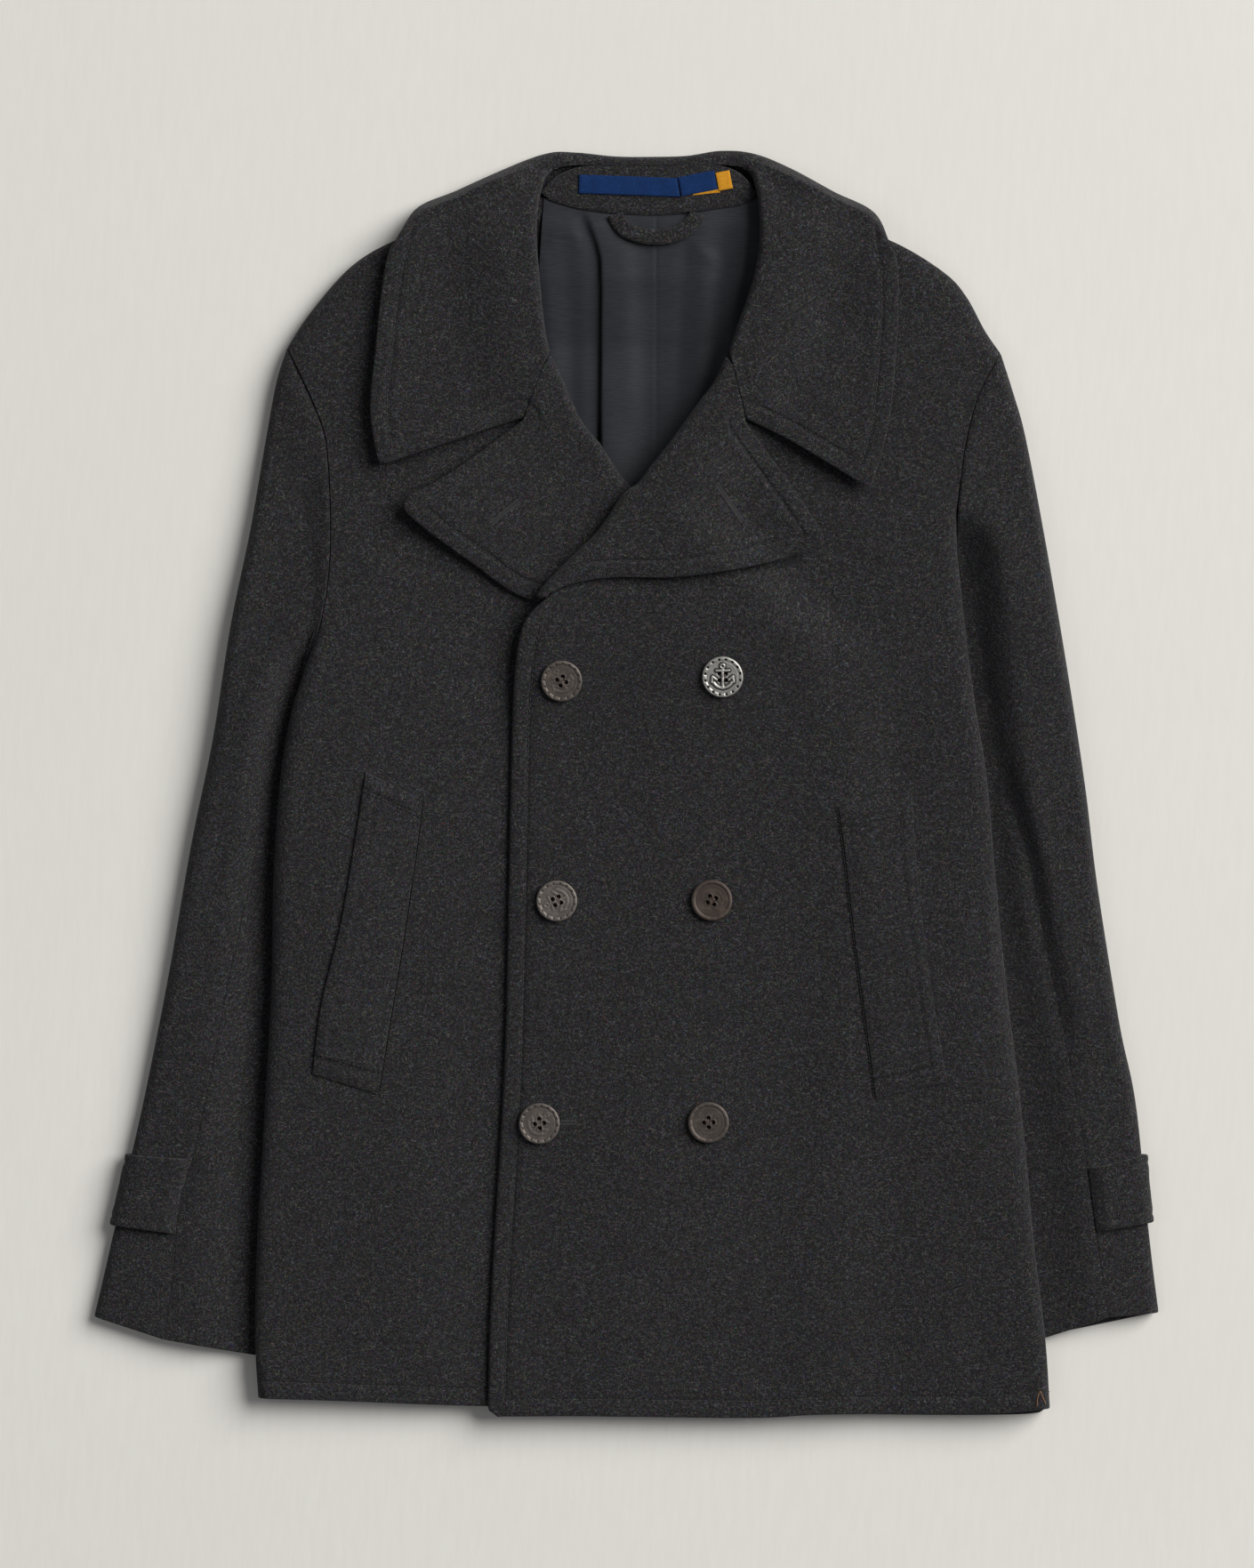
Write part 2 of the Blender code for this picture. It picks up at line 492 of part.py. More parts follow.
def roll_lip(start, outward, top, turn):
    """Points of the turned edge of a collar or lapel, from inside its fold up to its top."""
    turned = math.radians(turn)
    tail = LIP_END + (LIP - LIP_END) * step(90, 180, turn)
    length = ROLL_RADIUS * turned + tail
    points = []
    for k in range(LIP_STEPS, 0, -1):
        run = length * k / LIP_STEPS
        angle = min(run / ROLL_RADIUS, turned)
        past = run - ROLL_RADIUS * angle
        reach = ROLL_RADIUS * (1 - math.sin(angle)) - past * math.cos(angle)
        z = top - ROLL_RADIUS * (1 - math.cos(angle)) - past * math.sin(angle)
        points.append((*(start + outward * reach), z))
    return points


def lapel(name, table, corners, height, crest_column):
    rows = []
    columns = 6
    for s in np.linspace(0, len(table) - 1, 2 * (len(table) - 1) + 1):
        roll_x, roll_y, edge_x, edge_y, lift = section(table, s, corners)
        roll, edge = np.array([roll_x, roll_y]), np.array([edge_x, edge_y])
        reach = np.linalg.norm(edge - roll)
        outward = (edge - roll) / reach
        top = through(ROLL_HEIGHTS, crest_column, roll_y)
        reach = max(reach, ROLL_RADIUS + 2)
        row = roll_lip(roll, outward, top, 180)
        for k in range(columns + 1):
            distance = ROLL_RADIUS + (reach - ROLL_RADIUS) * k / columns
            x, y = roll + outward * distance
            rest = height(x, y) + REST + DOUBLE + lift * (k / columns) ** 1.5
            z = top + (rest - top) * step(ROLL_RADIUS, ROLL_RADIUS + 10, distance)
            row.append((x, y, z))
        rows.append(row)
    return cloth(name, turned_over(rows) if roll[0] > edge[0] else rows, DOUBLE)


def collar(on_right, on_left):
    rows = []
    columns = 13
    # Shares of the cloth's length where it turns over the shoulder or the back neck: top, fold, behind
    turning = np.concatenate([np.linspace(0, 1, 5), np.linspace(1, 2, 5)[1:], np.linspace(2, 3, 5)[1:]])
    for s in sorted([*range(len(COLLAR)), *COLLAR_HALVES]):
        roll_x, roll_y, top, turn, aim_x, aim_y, fold, behind = section(COLLAR, s, COLLAR_CORNERS)
        fold, behind, turn = min(max(fold, 0), 1), max(behind, 0), min(max(turn, 0), 180)
        roll, aim = np.array([roll_x, roll_y]), np.array([aim_x, aim_y])
        reach = np.linalg.norm(aim - roll)
        outward = (aim - roll) / reach
        height = on_right if aim_x < CENTRE_X else on_left
        back_way = np.array([(CENTRE_X - aim_x) * 0.004, -1.0])
        back_way /= np.linalg.norm(back_way)
        fold_reach = min(COLLAR_FOLD * min(fold * 2, 1), (reach - ROLL_RADIUS) * 0.9)
        flat = reach - ROLL_RADIUS - fold_reach

        def on_top(distance):
            x, y = roll + outward * (ROLL_RADIUS + distance)
            lift = COLLAR_LIFT * (distance / (reach - ROLL_RADIUS)) ** 1.5 * (1 - fold)
            rest = height(x, y) + REST + DOUBLE + lift
            z = top + (rest - top) * step(0, 30, distance)
            return x, y, z

        edge_x, edge_y, edge_z = on_top(flat)
        rise = edge_z / 2
        arc = fold * math.pi * (fold_reach + rise) / 2
        total = flat + arc + behind
        row = roll_lip(roll, outward, top, turn)
        for k in range(columns):
            even = total * k / (columns - 1)
            part = turning[k]
            turned = (flat * min(part, 1) + arc * min(max(part - 1, 0), 1) + behind * max(part - 2, 0))
            distance = even + (turned - even) * fold
            if distance <= flat + 1e-6:
                row.append(on_top(distance))
            elif distance <= flat + arc:
                angle = math.pi * fold * (distance - flat) / arc
                side = fold_reach * math.sin(angle)
                x, y = np.array([edge_x, edge_y]) + (outward * (1 + math.cos(angle)) - back_way * (1 - math.cos(angle))) / 2 * side
                row.append((x, y, rise * (1 + math.cos(angle))))
            else:
                x, y = np.array([edge_x, edge_y]) + back_way * (distance - flat - arc)
                row.append((x, y, 0.0))
        rows.append(row)
    return cloth("collar", turned_over(rows), DOUBLE, even=False)


def collar_stand():
    rows = []
    for s in np.linspace(0, len(STAND) - 1, 16):
        low_x, low_y, high_x, high_y = section(STAND, s)
        rows.append([(low_x + (high_x - low_x) * t, low_y + (high_y - low_y) * t, STAND_TOP) for t in np.linspace(0, 1, 4)])
    return cloth("collar_stand", turned_over(rows), STAND_TOP - STAND_BASE)


# Sleeves

def slanted(points, slant):
    """A line read somewhat later along its length, but for its ends."""
    line = Line(points)
    return lambda v: line(v - slant * v * (1 - v))


class Sleeve:
    """A two-piece sleeve. Its plan has four lines from the armhole to the cuff: the outer fold, the back seam,
    the line where it comes out from under the body, and the hidden inner fold."""

    def __init__(self, outer, seam, emerging, hidden, underside, armhole, heights, tab, slant, hidden_start, outward):
        self.outer, self.shown_from = Line(outer), Line(emerging)
        self.seam, self.emerging = slanted(seam, slant), slanted(emerging, slant)
        self.hidden, self.underside = slanted(hidden, slant), slanted(underside, UNDERSIDE_SLANT)
        self.armhole = Line([(x + outward * ARMHOLE_SEAM, y) for x, y in reversed(armhole)])
        self.heights = heights
        self.hidden_start = hidden_start
        self.tab = tab
        self.outward = outward

    def plan(self, first, second, t, v, armhole_first, armhole_second):
        """Between two lines at t, following the armhole at the sleeve's head."""
        a, b = first(v), second(v)
        a0, b0 = first(0), second(0)
        round_head = self.armhole(armhole_first + (armhole_second - armhole_first) * t) - (a0 + (b0 - a0) * t)
        return a + (b - a) * t + round_head * (1 - v) ** 3

    def lift(self, v, from_edge):
        """The underside is lifted where the tab passes under the outer fold."""
        top, bottom, _ = self.tab
        return TAB_LIFT * step(top - 0.06, top - 0.01, v) * step(bottom + 0.06, bottom + 0.01, v) * step(75, 55, from_edge)

    def crest(self, x, y, v):
        return body_height(x, y) + (through(self.heights, 1, v) - body_height(x, y)) * step(0, 0.12, v)

    def top_stations(self, v):
        """Upper side from the outer fold to the seam: share of the way, distance from the outer fold."""
        width = np.linalg.norm(self.outer(v) - self.seam(v))
        radius = 10 - 3 * v
        stations = [(radius * (1 - math.cos(math.radians(a)))) for a in (0, 30, 60, 90)]
        start = stations[-1]
        stations += [start + (width - start) * k / 5 for k in range(1, 6)]
        return [(distance / width, distance) for distance in stations]

    def height_on_top(self, x, y, v, from_seam):
        valley = through(self.heights, 2, v) * math.exp(-((from_seam / 9) ** 2))
        crest = self.crest(x, y, v) - valley
        return SLEEVE_UNDER + (crest - SLEEVE_UNDER) * step(0, 45, self.shown_from.distance(x, y))

    def top_side(self, v):
        """From the seam to the outer fold."""
        row = []
        width = np.linalg.norm(self.outer(v) - self.seam(v))
        for share, distance in reversed(self.top_stations(v)):
            x, y = self.plan(self.outer, self.seam, share, v, 0, SEAM_START)
            from_seam = width - distance
            top = self.height_on_top(x, y, v, from_seam)
            middle = (top + self.lift(v, distance)) / 2
            row.append((x, y, middle + (top - middle) * fold_share(distance, 10 - 3 * v)))
        return row

    def under_side(self, v):
        """From the outer fold on to the middle of the underside."""
        row = []
        width = np.linalg.norm(self.outer(v) - self.underside(v))
        top_edge = self.top_side(v)[-1][2]
        radius = 10 - 3 * v
        stations = [radius * (1 - math.cos(math.radians(a))) for a in (30, 60, 90)]
        stations += [stations[-1] + (width - stations[-1]) * k / 4 for k in range(1, 5)]
        for distance in stations:
            x, y = self.plan(self.outer, self.underside, distance / width, v, 0, UNDERSIDE_START)
            low = self.lift(v, distance)
            row.append((x, y, top_edge - (top_edge - low) * fold_share(distance, radius)))
        return row

    def inner_side(self, v):
        """From the seam down under the body and round the hidden fold to the middle of the underside."""
        row = []
        gap = np.linalg.norm(self.seam(v) - self.emerging(v))
        for share in np.linspace(0, 1, 3):
            x, y = self.plan(self.seam, self.emerging, share, v, SEAM_START, 1)
            top = self.height_on_top(x, y, v, gap * share) if share < 1 else SLEEVE_UNDER
            row.append((x, y, top))
        tucked = np.linalg.norm(self.hidden(v) - self.emerging(v))
        radius = SLEEVE_UNDER / 2
        for k in range(1, 5):
            distance = (tucked - radius) * k / 4
            x, y = self.emerging(v) + (self.hidden(v) - self.emerging(v)) * distance / tucked
            row.append((x, y, SLEEVE_UNDER))
        for angle in (45, 90, 135, 180):
            turn = math.radians(angle)
            distance = tucked - radius + radius * math.sin(turn)
            x, y = self.emerging(v) + (self.hidden(v) - self.emerging(v)) * distance / tucked
            row.append((x, y, radius * (1 + math.cos(turn))))
        behind = radius / np.linalg.norm(self.hidden(v) - self.underside(v))
        for t in (0.3, 0.65, 1):
            x, y = self.plan(self.hidden, self.underside, behind + (1 - behind) * t, v, self.hidden_start,
                             UNDERSIDE_START)
            row.append((x, y, 0.0))
        return row

    def rows(self):
        return list(np.linspace(0, 1, 17))

    def topsleeve(self, v):
        return self.top_side(v) + self.under_side(v)


def parted(rows, distance):
    """The ends of each row moved in, so that the piece ends short of its seams, and more so at the sleeve's head."""
    for number, row in enumerate(rows):
        moved = distance * (1 + 1.5 * (1 - number / len(rows)) ** 6)
        for end, beside in ((0, 1), (-1, -2)):
            a, b = np.array(row[end]), np.array(row[beside])
            row[end] = tuple(a + (b - a) / np.linalg.norm(b - a) * moved)
    return rows


def sleeve(side, made):
    upper = parted([made.topsleeve(v) for v in made.rows()], 0.3 * SLEEVE_SEAM)
    lower = parted([made.inner_side(v) for v in made.rows()], 0.7 * SLEEVE_SEAM)
    if made.outward > 0:
        upper = turned_over(upper)
    else:
        lower = turned_over(lower)
    cloth(f"topsleeve_{side}", upper, WALL)
    cloth(f"undersleeve_{side}", lower, WALL, even=False)


def cuff_tab(side, made):
    """Double cloth from the seam round the outer fold, made from the sleeve's own points, moved out."""
    top, bottom, reach = made.tab
    rows = []
    for v in np.linspace(top, bottom, 7):
        row = made.topsleeve(v)
        ends = np.cumsum([0] + [np.linalg.norm(np.array(b) - np.array(a)) for a, b in zip(row, row[1:])])
        rows.append([point for point, at in zip(row, ends) if at < reach])
    count = min(len(row) for row in rows)
    rows = [row[:count] for row in rows]
    if made.outward < 0:
        rows = turned_over(rows)
    rows = moved_out(turned_over(rows), 1.5 * REST)
    cloth(f"cuff_tab_{side}", rows, 3.2, out=1)


def moved_out(rows, distance):
    """Points moved along their surface's outer side."""
    grid = np.array(rows, float)
    along = np.gradient(grid, axis=0)
    across = np.gradient(grid, axis=1)
    normal = np.cross(across, along)
    normal /= np.linalg.norm(normal, axis=2, keepdims=True)
    return [[tuple(point) for point in row] for row in grid + normal * distance]


# Trims

def pocket_welt(side, table, height):
    rows = []
    for s in np.linspace(0, len(table) - 1, 3 * (len(table) - 1) + 1):
        seam_x, seam_y, open_x, open_y = section(table, s)
        row = []
        for t in np.linspace(0, 1, 6):
            x, y = seam_x + (open_x - seam_x) * t, seam_y + (open_y - seam_y) * t
            row.append((x, y, height(x, y) + REST))
        rows.append(row)
    if side == "right":
        rows = turned_over(rows)
    cloth(f"pocket_welt_{side}", turned_over(rows), DOUBLE, out=1)


def button_shape():
    """Turned disc with a raised rim and a dished middle, pierced by four holes."""
    radius, height = BUTTON_RADIUS * MM, BUTTON_HEIGHT * MM
    profile = [(0, 0.62), (0.55, 0.62), (0.76, 0.72), (0.84, 0.94), (0.9, 1.0), (0.96, 0.94), (1.0, 0.72), (0.98, 0.3),
               (0.86, 0.0), (0, 0)]
    bm = bmesh.new()
    verts = [bm.verts.new((share * radius, 0, level * height)) for share, level in profile]
    for a, b in zip(verts, verts[1:]):
        bm.edges.new((a, b))
    obj = add_mesh("button_1", bm, "pewter")
    screw = obj.modifiers.new("turn", "SCREW")
    screw.steps = screw.render_steps = 16
    screw.use_merge_vertices = True
    screw.merge_threshold = 0.0001
    for x, y in ((1, 1), (1, -1), (-1, -1), (-1, 1)):
        bm = bmesh.new()
        bmesh.ops.create_cone(bm, cap_ends=True, segments=6, radius1=BUTTON_HOLE_RADIUS * MM,
                              radius2=BUTTON_HOLE_RADIUS * MM, depth=4 * height)
        bmesh.ops.translate(bm, verts=bm.verts, vec=Vector((x, y, 0)) * BUTTON_HOLE_OFFSET * MM)
        mesh = bpy.data.meshes.new("hole")
        bm.to_mesh(mesh)
        bm.free()
        cutter = bpy.data.objects.new("hole", mesh)
        cutter.hide_render = True
        cutter.display_type = "WIRE"
        CUTTERS.objects.link(cutter)
        cut = obj.modifiers.new("hole", "BOOLEAN")
        cut.operation = "DIFFERENCE"
        cut.object = cutter
    graph = bpy.context.evaluated_depsgraph_get()
    mesh = bpy.data.meshes.new_from_object(obj.evaluated_get(graph))
    bpy.data.objects.remove(obj)
    return mesh


def buttons(surface):
    """Each button lies on the front, tilted as the cloth is under it."""
    shape = button_shape()
    for number, (x, y) in enumerate(BUTTONS, 1):
        points = []
        for angle in np.linspace(0, 2 * math.pi, 12, endpoint=False):
            for radius in (BUTTON_RADIUS, 0.6 * BUTTON_RADIUS):
                at = x + radius * math.cos(angle), y + radius * math.sin(angle)
                points.append((*at, surface(*at)))
        points = np.array(points)
        level = np.column_stack([points[:, :2], np.ones(len(points))])
        slope_x, slope_y, base = np.linalg.lstsq(level, points[:, 2], rcond=None)[0]
        proud = max(points[:, 2] - level @ (slope_x, slope_y, base))
        obj = bpy.data.objects.new(f"button_{number}", shape)
        obj.rotation_euler = Vector((-slope_x, -slope_y, 1)).to_track_quat("Z", "Y").to_euler()
        obj.location = Vector((x, y, slope_x * x + slope_y * y + base + proud + SEAM)) * MM
        COAT.objects.link(obj)


def hanger_loop():
    line = Line(LOOP)
    rows = []
    for share in np.linspace(0, 1, 15):
        middle = line(share)
        ahead = line(min(share + 0.02, 1)) - line(max(share - 0.02, 0))
        side = np.array([-ahead[1], ahead[0]]) / np.linalg.norm(ahead) * LOOP_WIDTH / 2
        row = []
        for t in (-1, 0, 1):
            x, y = middle + side * t
            row.append((x, y, back_height(x, y) + WALL + LINING_LIFT + SEAM))
        rows.append(row)
    cloth("hanger_loop", turned_over(rows), LOOP_THICKNESS, out=1)


def label(name, kind):
    x, y, width, height, turn = LABELS[name]
    along = np.array([math.cos(math.radians(turn)), math.sin(math.radians(turn))])
    up = np.array([-along[1], along[0]])
    rows = []
    for t in np.linspace(0, height, 3):
        rows.append([(*(np.array([x, y]) + along * s + up * t), STAND_TOP + SEAM) for s in np.linspace(0, width, 5)])
    cloth(name, rows, LINING_WALL, kind, out=1)


for old in list(bpy.data.objects):
    bpy.data.objects.remove(old)
COAT = bpy.data.collections.new("pea_coat")
CUTTERS = bpy.data.collections.new("cutters")
for collection in (COAT, CUTTERS):
    bpy.context.scene.collection.children.link(collection)

back()
back_lining()
ON_RIGHT = Surface(front("front_right", RIGHT_SIDE, RIGHT_ARMHOLE, RIGHT_FRONT_EDGE, RIGHT_ROLL_EDGE, RIGHT_HEM,
                         RIGHT_SHOULDER, right_front_height, 111), right_front_height)
ON_LEFT = Surface(front("front_left", LEFT_SIDE, LEFT_ARMHOLE, LEFT_FRONT_EDGE, LEFT_ROLL_EDGE, LEFT_HEM,
                        LEFT_SHOULDER, left_front_height, -85), left_front_height)
lapel("lapel_right", RIGHT_LAPEL, RIGHT_LAPEL_CORNERS, ON_RIGHT, 1)
lapel("lapel_left", LEFT_LAPEL, LEFT_LAPEL_CORNERS, ON_LEFT, 2)
collar(ON_RIGHT, ON_LEFT)
collar_stand()
RIGHT_SLEEVE = Sleeve(RIGHT_OUTER, RIGHT_SLEEVE_SEAM, RIGHT_EMERGING, RIGHT_HIDDEN_EDGE, RIGHT_UNDERSIDE,
                      RIGHT_ARMHOLE, RIGHT_SLEEVE_HEIGHTS, TABS["right"], SLANTS["right"],
                      HIDDEN_START["right"], -1)
LEFT_SLEEVE = Sleeve(LEFT_OUTER, LEFT_SLEEVE_SEAM, LEFT_EMERGING, LEFT_HIDDEN_EDGE, LEFT_UNDERSIDE,
                     LEFT_ARMHOLE, LEFT_SLEEVE_HEIGHTS, TABS["left"], SLANTS["left"],
                     HIDDEN_START["left"], 1)
for side, made in (("right", RIGHT_SLEEVE), ("left", LEFT_SLEEVE)):
    sleeve(side, made)
    cuff_tab(side, made)
pocket_welt("right", RIGHT_WELT, ON_RIGHT)
pocket_welt("left", LEFT_WELT, ON_LEFT)
buttons(ON_LEFT)
hanger_loop()
label("maker_label", "label")
label("size_label", "label")
label("size_tab", "tab")
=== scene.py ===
"""Looks of a double-breasted pea coat laid flat on its back: wool melton, lining, pewter buttons and the sewing.

The tables are in millimetres and name the wearer's sides: the wearer's right is at -X and the left at +X. X runs
across the coat, Y from the hem to the collar and Z up. Each cloth piece is a grid of points shaped by the rules of its
layer and closed into a thin shell with rounded edges.
"""

import math

import bpy
import numpy as np
from mathutils import Matrix, Vector
from mathutils.bvhtree import BVHTree


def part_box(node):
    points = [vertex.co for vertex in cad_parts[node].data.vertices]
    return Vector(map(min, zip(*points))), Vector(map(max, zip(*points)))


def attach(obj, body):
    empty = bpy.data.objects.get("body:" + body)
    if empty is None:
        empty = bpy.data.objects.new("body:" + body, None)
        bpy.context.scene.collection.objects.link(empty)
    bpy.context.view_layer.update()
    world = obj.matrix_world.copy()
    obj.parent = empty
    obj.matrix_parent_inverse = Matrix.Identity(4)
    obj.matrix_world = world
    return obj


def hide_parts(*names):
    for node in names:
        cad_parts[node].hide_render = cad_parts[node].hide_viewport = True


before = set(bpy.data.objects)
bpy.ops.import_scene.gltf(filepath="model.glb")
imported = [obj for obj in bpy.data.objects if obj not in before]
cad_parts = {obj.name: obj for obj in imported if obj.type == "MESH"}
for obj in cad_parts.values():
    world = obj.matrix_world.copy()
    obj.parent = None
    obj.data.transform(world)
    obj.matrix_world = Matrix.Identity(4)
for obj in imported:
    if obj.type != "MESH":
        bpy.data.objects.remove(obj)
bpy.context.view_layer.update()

MM = 0.001
WALL = 2.4  # shell cloth
DOUBLE = 3.6  # two cloths sewn together: collar, lapels, welts, tabs
EDGE_WALL = 4.6  # a front with its facing, along the front edge
LINING_WALL = 1.0
SEAM = 0.3  # between pieces that are sewn together
LOWEST = 0.05  # of any point, above the ground
LINING_LIFT = 2.6  # top of the lining over the back
REST = 0.6  # between curved layers that lie on each other
FOLD_SEAM = 0.35  # from the middle of a fold to the piece on each side of its seam
LIFT_RAMP = 36.0  # width over which the back comes down beside a sleeve that it lies on
LIFT_IN = 6  # how far outside the edge of that sleeve it starts to
CENTRE_X = 16.0
STITCH_IN = 11.4  # topstitching in from an edge

SLEEVE_UNDER = 7.4  # height of the part of a sleeve that lies under the body
BODY_OVER_SLEEVE = 8.0
BODY_OVER_COLLAR = 4.2
ROLL_RADIUS = 5.7  # of the turned edge of collar and lapel
LIP = 6.0  # flat strip of facing inside that turn
LIP_END = 0.9  # what is left of it where the collar doesn't turn
FRONT_OVER_FRONT = 5.4  # left front above the right one
FRONT_OVER_LAPEL = 12.2  # left front above the right lapel
SHOULDER_FOLD = 12.0  # width of the fold over the shoulder, in plan
COLLAR_FOLD = 8.0  # the same where the collar folds under
COLLAR_LIFT = 6.0  # of the collar's edge off the front
TAB_LIFT = 4.5  # of a sleeve's underside where its tab passes under it
EDGE_PRESSED = 1.1  # how much thinner an ironed double edge is

# Side edges of the body from the hem to the underarm: x, y
RIGHT_SIDE = [(-248.3, -413.4), (-250.3, -371), (-249, -311), (-243.9, -221), (-239, -131), (-237.9, -66),
              (-233.7, -1), (-226.5, 45), (-217.5, 75.6)]
LEFT_SIDE = [(284.8, -420.4), (281.3, -371), (274.1, -311), (265.5, -221), (254.7, -131), (248.4, -69),
             (242.4, 1), (234.6, 51), (228, 100), (222.1, 157)]
# Armholes from the underarm to the shoulder: x, y
RIGHT_ARMHOLE = [(-217.5, 75.6), (-204.5, 113), (-199, 160), (-201.5, 225), (-210.3, 255), (-228.6, 294)]
LEFT_ARMHOLE = [(222.1, 157), (221.8, 180), (225.3, 214.8), (230.7, 243.2), (238.5, 266.6), (251.5, 290)]
# Shoulders from the armhole to the neck: x, y
RIGHT_SHOULDER = [(-228.6, 294), (-213.3, 317.4), (-185.7, 348.6), (-155.1, 366.6), (-110, 383), (-73, 395.6)]
LEFT_SHOULDER = [(251.5, 290), (240.9, 305.6), (229, 327.6), (214.5, 343.8), (181.3, 364.2), (135, 382), (103.5, 395.2)]
# Back neck seam from the wearer's right to the left: x, y
NECK = [(-72, 396), (-60, 396.4), (-51.9, 393.6), (-34.5, 388.2), (5, 384), (39.9, 384.6), (77, 391.5), (88, 395.4),
        (101, 396)]
# Inner edges of the fronts, front edge and roll line, from the hem to the neck: x, y
LEFT_FRONT_EDGE = [(-93.9, -425.6), (-91.4, -340), (-82.7, -191), (-79.6, -66), (-77.1, 45.6),
                   (-73.5, 92.4), (-67, 112), (-54, 125)]
LEFT_ROLL_EDGE = [(-54, 125), (-28, 151), (-11, 168), (14.5, 200), (38.5, 228), (64.5, 263), (81.5, 307), (92, 345),
                  (97, 364), (103.5, 395.2)]
RIGHT_FRONT_EDGE = [(112, -417), (110.5, -250), (110, -100), (108, 60), (98, 98), (76, 115.5), (57, 123.5)]
RIGHT_ROLL_EDGE = [(57, 123.5), (36, 147), (13, 177), (-10.5, 202), (-27, 229), (-38, 243), (-49.5, 264), (-62.5, 303),
                   (-67.5, 344), (-70, 364), (-73, 395.6)]
# Hems from the side to the front edge: x, y
RIGHT_HEM = [(-248.3, -413.4), (-199, -414.8), (-94.6, -418.8), (10, -420), (112, -417)]
LEFT_HEM = [(284.8, -420.4), (243.3, -423.6), (134, -424.1), (84.3, -426.4), (-15.3, -425.4), (-93.9, -425.6)]
BACK_HEM = [(-248.3, -413.4), (-199, -414.6), (16, -419), (134, -424.6), (262, -425.2), (284.8, -420.4)]

# Height of one front over the body: y, at the wearer's right side, in the middle, at the left side
BODY_HEIGHTS = [(-427, 18, 13, 18), (-300, 20.5, 14.5, 20.5), (-120, 23, 16.5, 23), (60, 23.5, 17, 23),
                (160, 20, 17, 21.5), (240, 17, 17, 18), (300, 15.5, 17, 16), (400, 14.5, 17, 14.5)]
# Top of the collar and lapels along their roll: y, on the wearer's right, on the left
ROLL_HEIGHTS = [(120, 21.2, 33.4), (204, 21.2, 33.4), (245, 24, 31.5), (290, 27.5, 30.5), (344, 28.3, 30.3),
                (360, 27.6, 29.2), (372, 26, 27), (385, 23.4, 24), (400, 19.8, 20.3)]
# Edge of the right front where the left front lies over it: y, x
OVERLAP_EDGE = [(-427, 114), (60, 110), (100, 100), (120, 74), (160, 38), (204, 0), (243, -30), (290, -50), (400, -60)]
# Inner edge of what lifts the back on each sleeve: y, x on the wearer's right, x on the left
SLEEVE_BEHIND = [(-395, -206, 268), (-300, -182, 232), (-240, -166, 212), (-180, -154, 196), (-120, -147, 184),
                 (-60, -150, 180), (0, -168, 184), (40, -188, 192), (75, -207, 200), (150, -207, 214)]

# Sleeves. Outer edge from the shoulder to the cuff: x, y
RIGHT_OUTER = [(-230.4, 292.8), (-237.5, 270), (-244.2, 233), (-254.7, 170), (-267.6, 106), (-279.3, 30),
               (-293.7, -41), (-309.3, -131), (-327.3, -221), (-345.5, -301), (-359, -358.8)]
LEFT_OUTER = [(253.4, 288.9), (261.9, 261.6), (269.7, 232.8), (282.7, 162.6), (297, 76.8), (308.7, -1),
              (317, -69), (331.7, -161), (342.7, -215), (351.1, -299), (358.2, -356)]
# Back seam of each sleeve from the armhole to the cuff: x, y
RIGHT_SLEEVE_SEAM = [(-216.5, 89), (-226, 60), (-238, 5), (-253, -60), (-268, -131), (-281, -200),
                     (-292.5, -252.6), (-301.5, -284), (-305.5, -330), (-312, -374)]
LEFT_SLEEVE_SEAM = [(222.8, 172), (229.4, 142), (238.5, 95), (248.7, 20), (269.7, -46), (281.1, -104),
                    (297.2, -184), (308.7, -250), (317, -311), (324.3, -359)]
# Where each sleeve comes out from under the body, from the underarm to the cuff: x, y
RIGHT_EMERGING = [(-217, 74.2), (-224.5, 44.5), (-232, -1), (-237.5, -66), (-240.4, -131), (-245.3, -221),
                  (-250.4, -311), (-251.8, -384.6)]
LEFT_EMERGING = [(223.6, 156), (229.6, 100), (236.2, 51), (243.9, 1), (249.9, -69), (256.2, -131),
                 (267, -221), (275.6, -311), (282.4, -373)]
# Hidden inner edge of each sleeve under the body, from the underarm to the cuff: x, y
RIGHT_HIDDEN_EDGE = [(-207.3, 108), (-210, 88), (-211, 66), (-207, 40), (-195, 5), (-172, -40), (-155, -82),
                     (-151, -125), (-159, -200), (-184, -290), (-211, -386)]
LEFT_HIDDEN_EDGE = [(219.5, 153), (214, 120), (203, 80), (195, 40), (187, -10), (184, -80), (189, -130), (203, -200),
                    (231, -290), (260, -376)]
# Middle of the underside from the armhole to the cuff: x, y
RIGHT_UNDERSIDE = [(-207, 240), (-222, 160), (-236, 80), (-246, 0), (-254, -80), (-262, -170), (-276, -280),
                   (-288, -378)]
LEFT_UNDERSIDE = [(232, 250), (250, 170), (262, 90), (270, 10), (276, -70), (284, -160), (300, -280), (310, -366)]
# Share of the armhole, from the shoulder, where the back seam and the middle of the underside start
SEAM_START = 0.92
UNDERSIDE_START = 0.27
HIDDEN_START = {"right": 0.85, "left": 1.0}  # the same for the hidden edge
# Height of a sleeve down its length: share of the length, height, depth of the valley at the back seam
RIGHT_SLEEVE_HEIGHTS = [(0, 17, 0), (0.12, 19, 0), (0.35, 20, 1.5), (0.6, 18, 1), (0.8, 16, 0.6), (1, 14, 0.4)]
LEFT_SLEEVE_HEIGHTS = [(0, 18, 0), (0.12, 20, 4), (0.35, 21, 8), (0.6, 19, 6), (0.75, 16.5, 1), (1, 14, 0.4)]

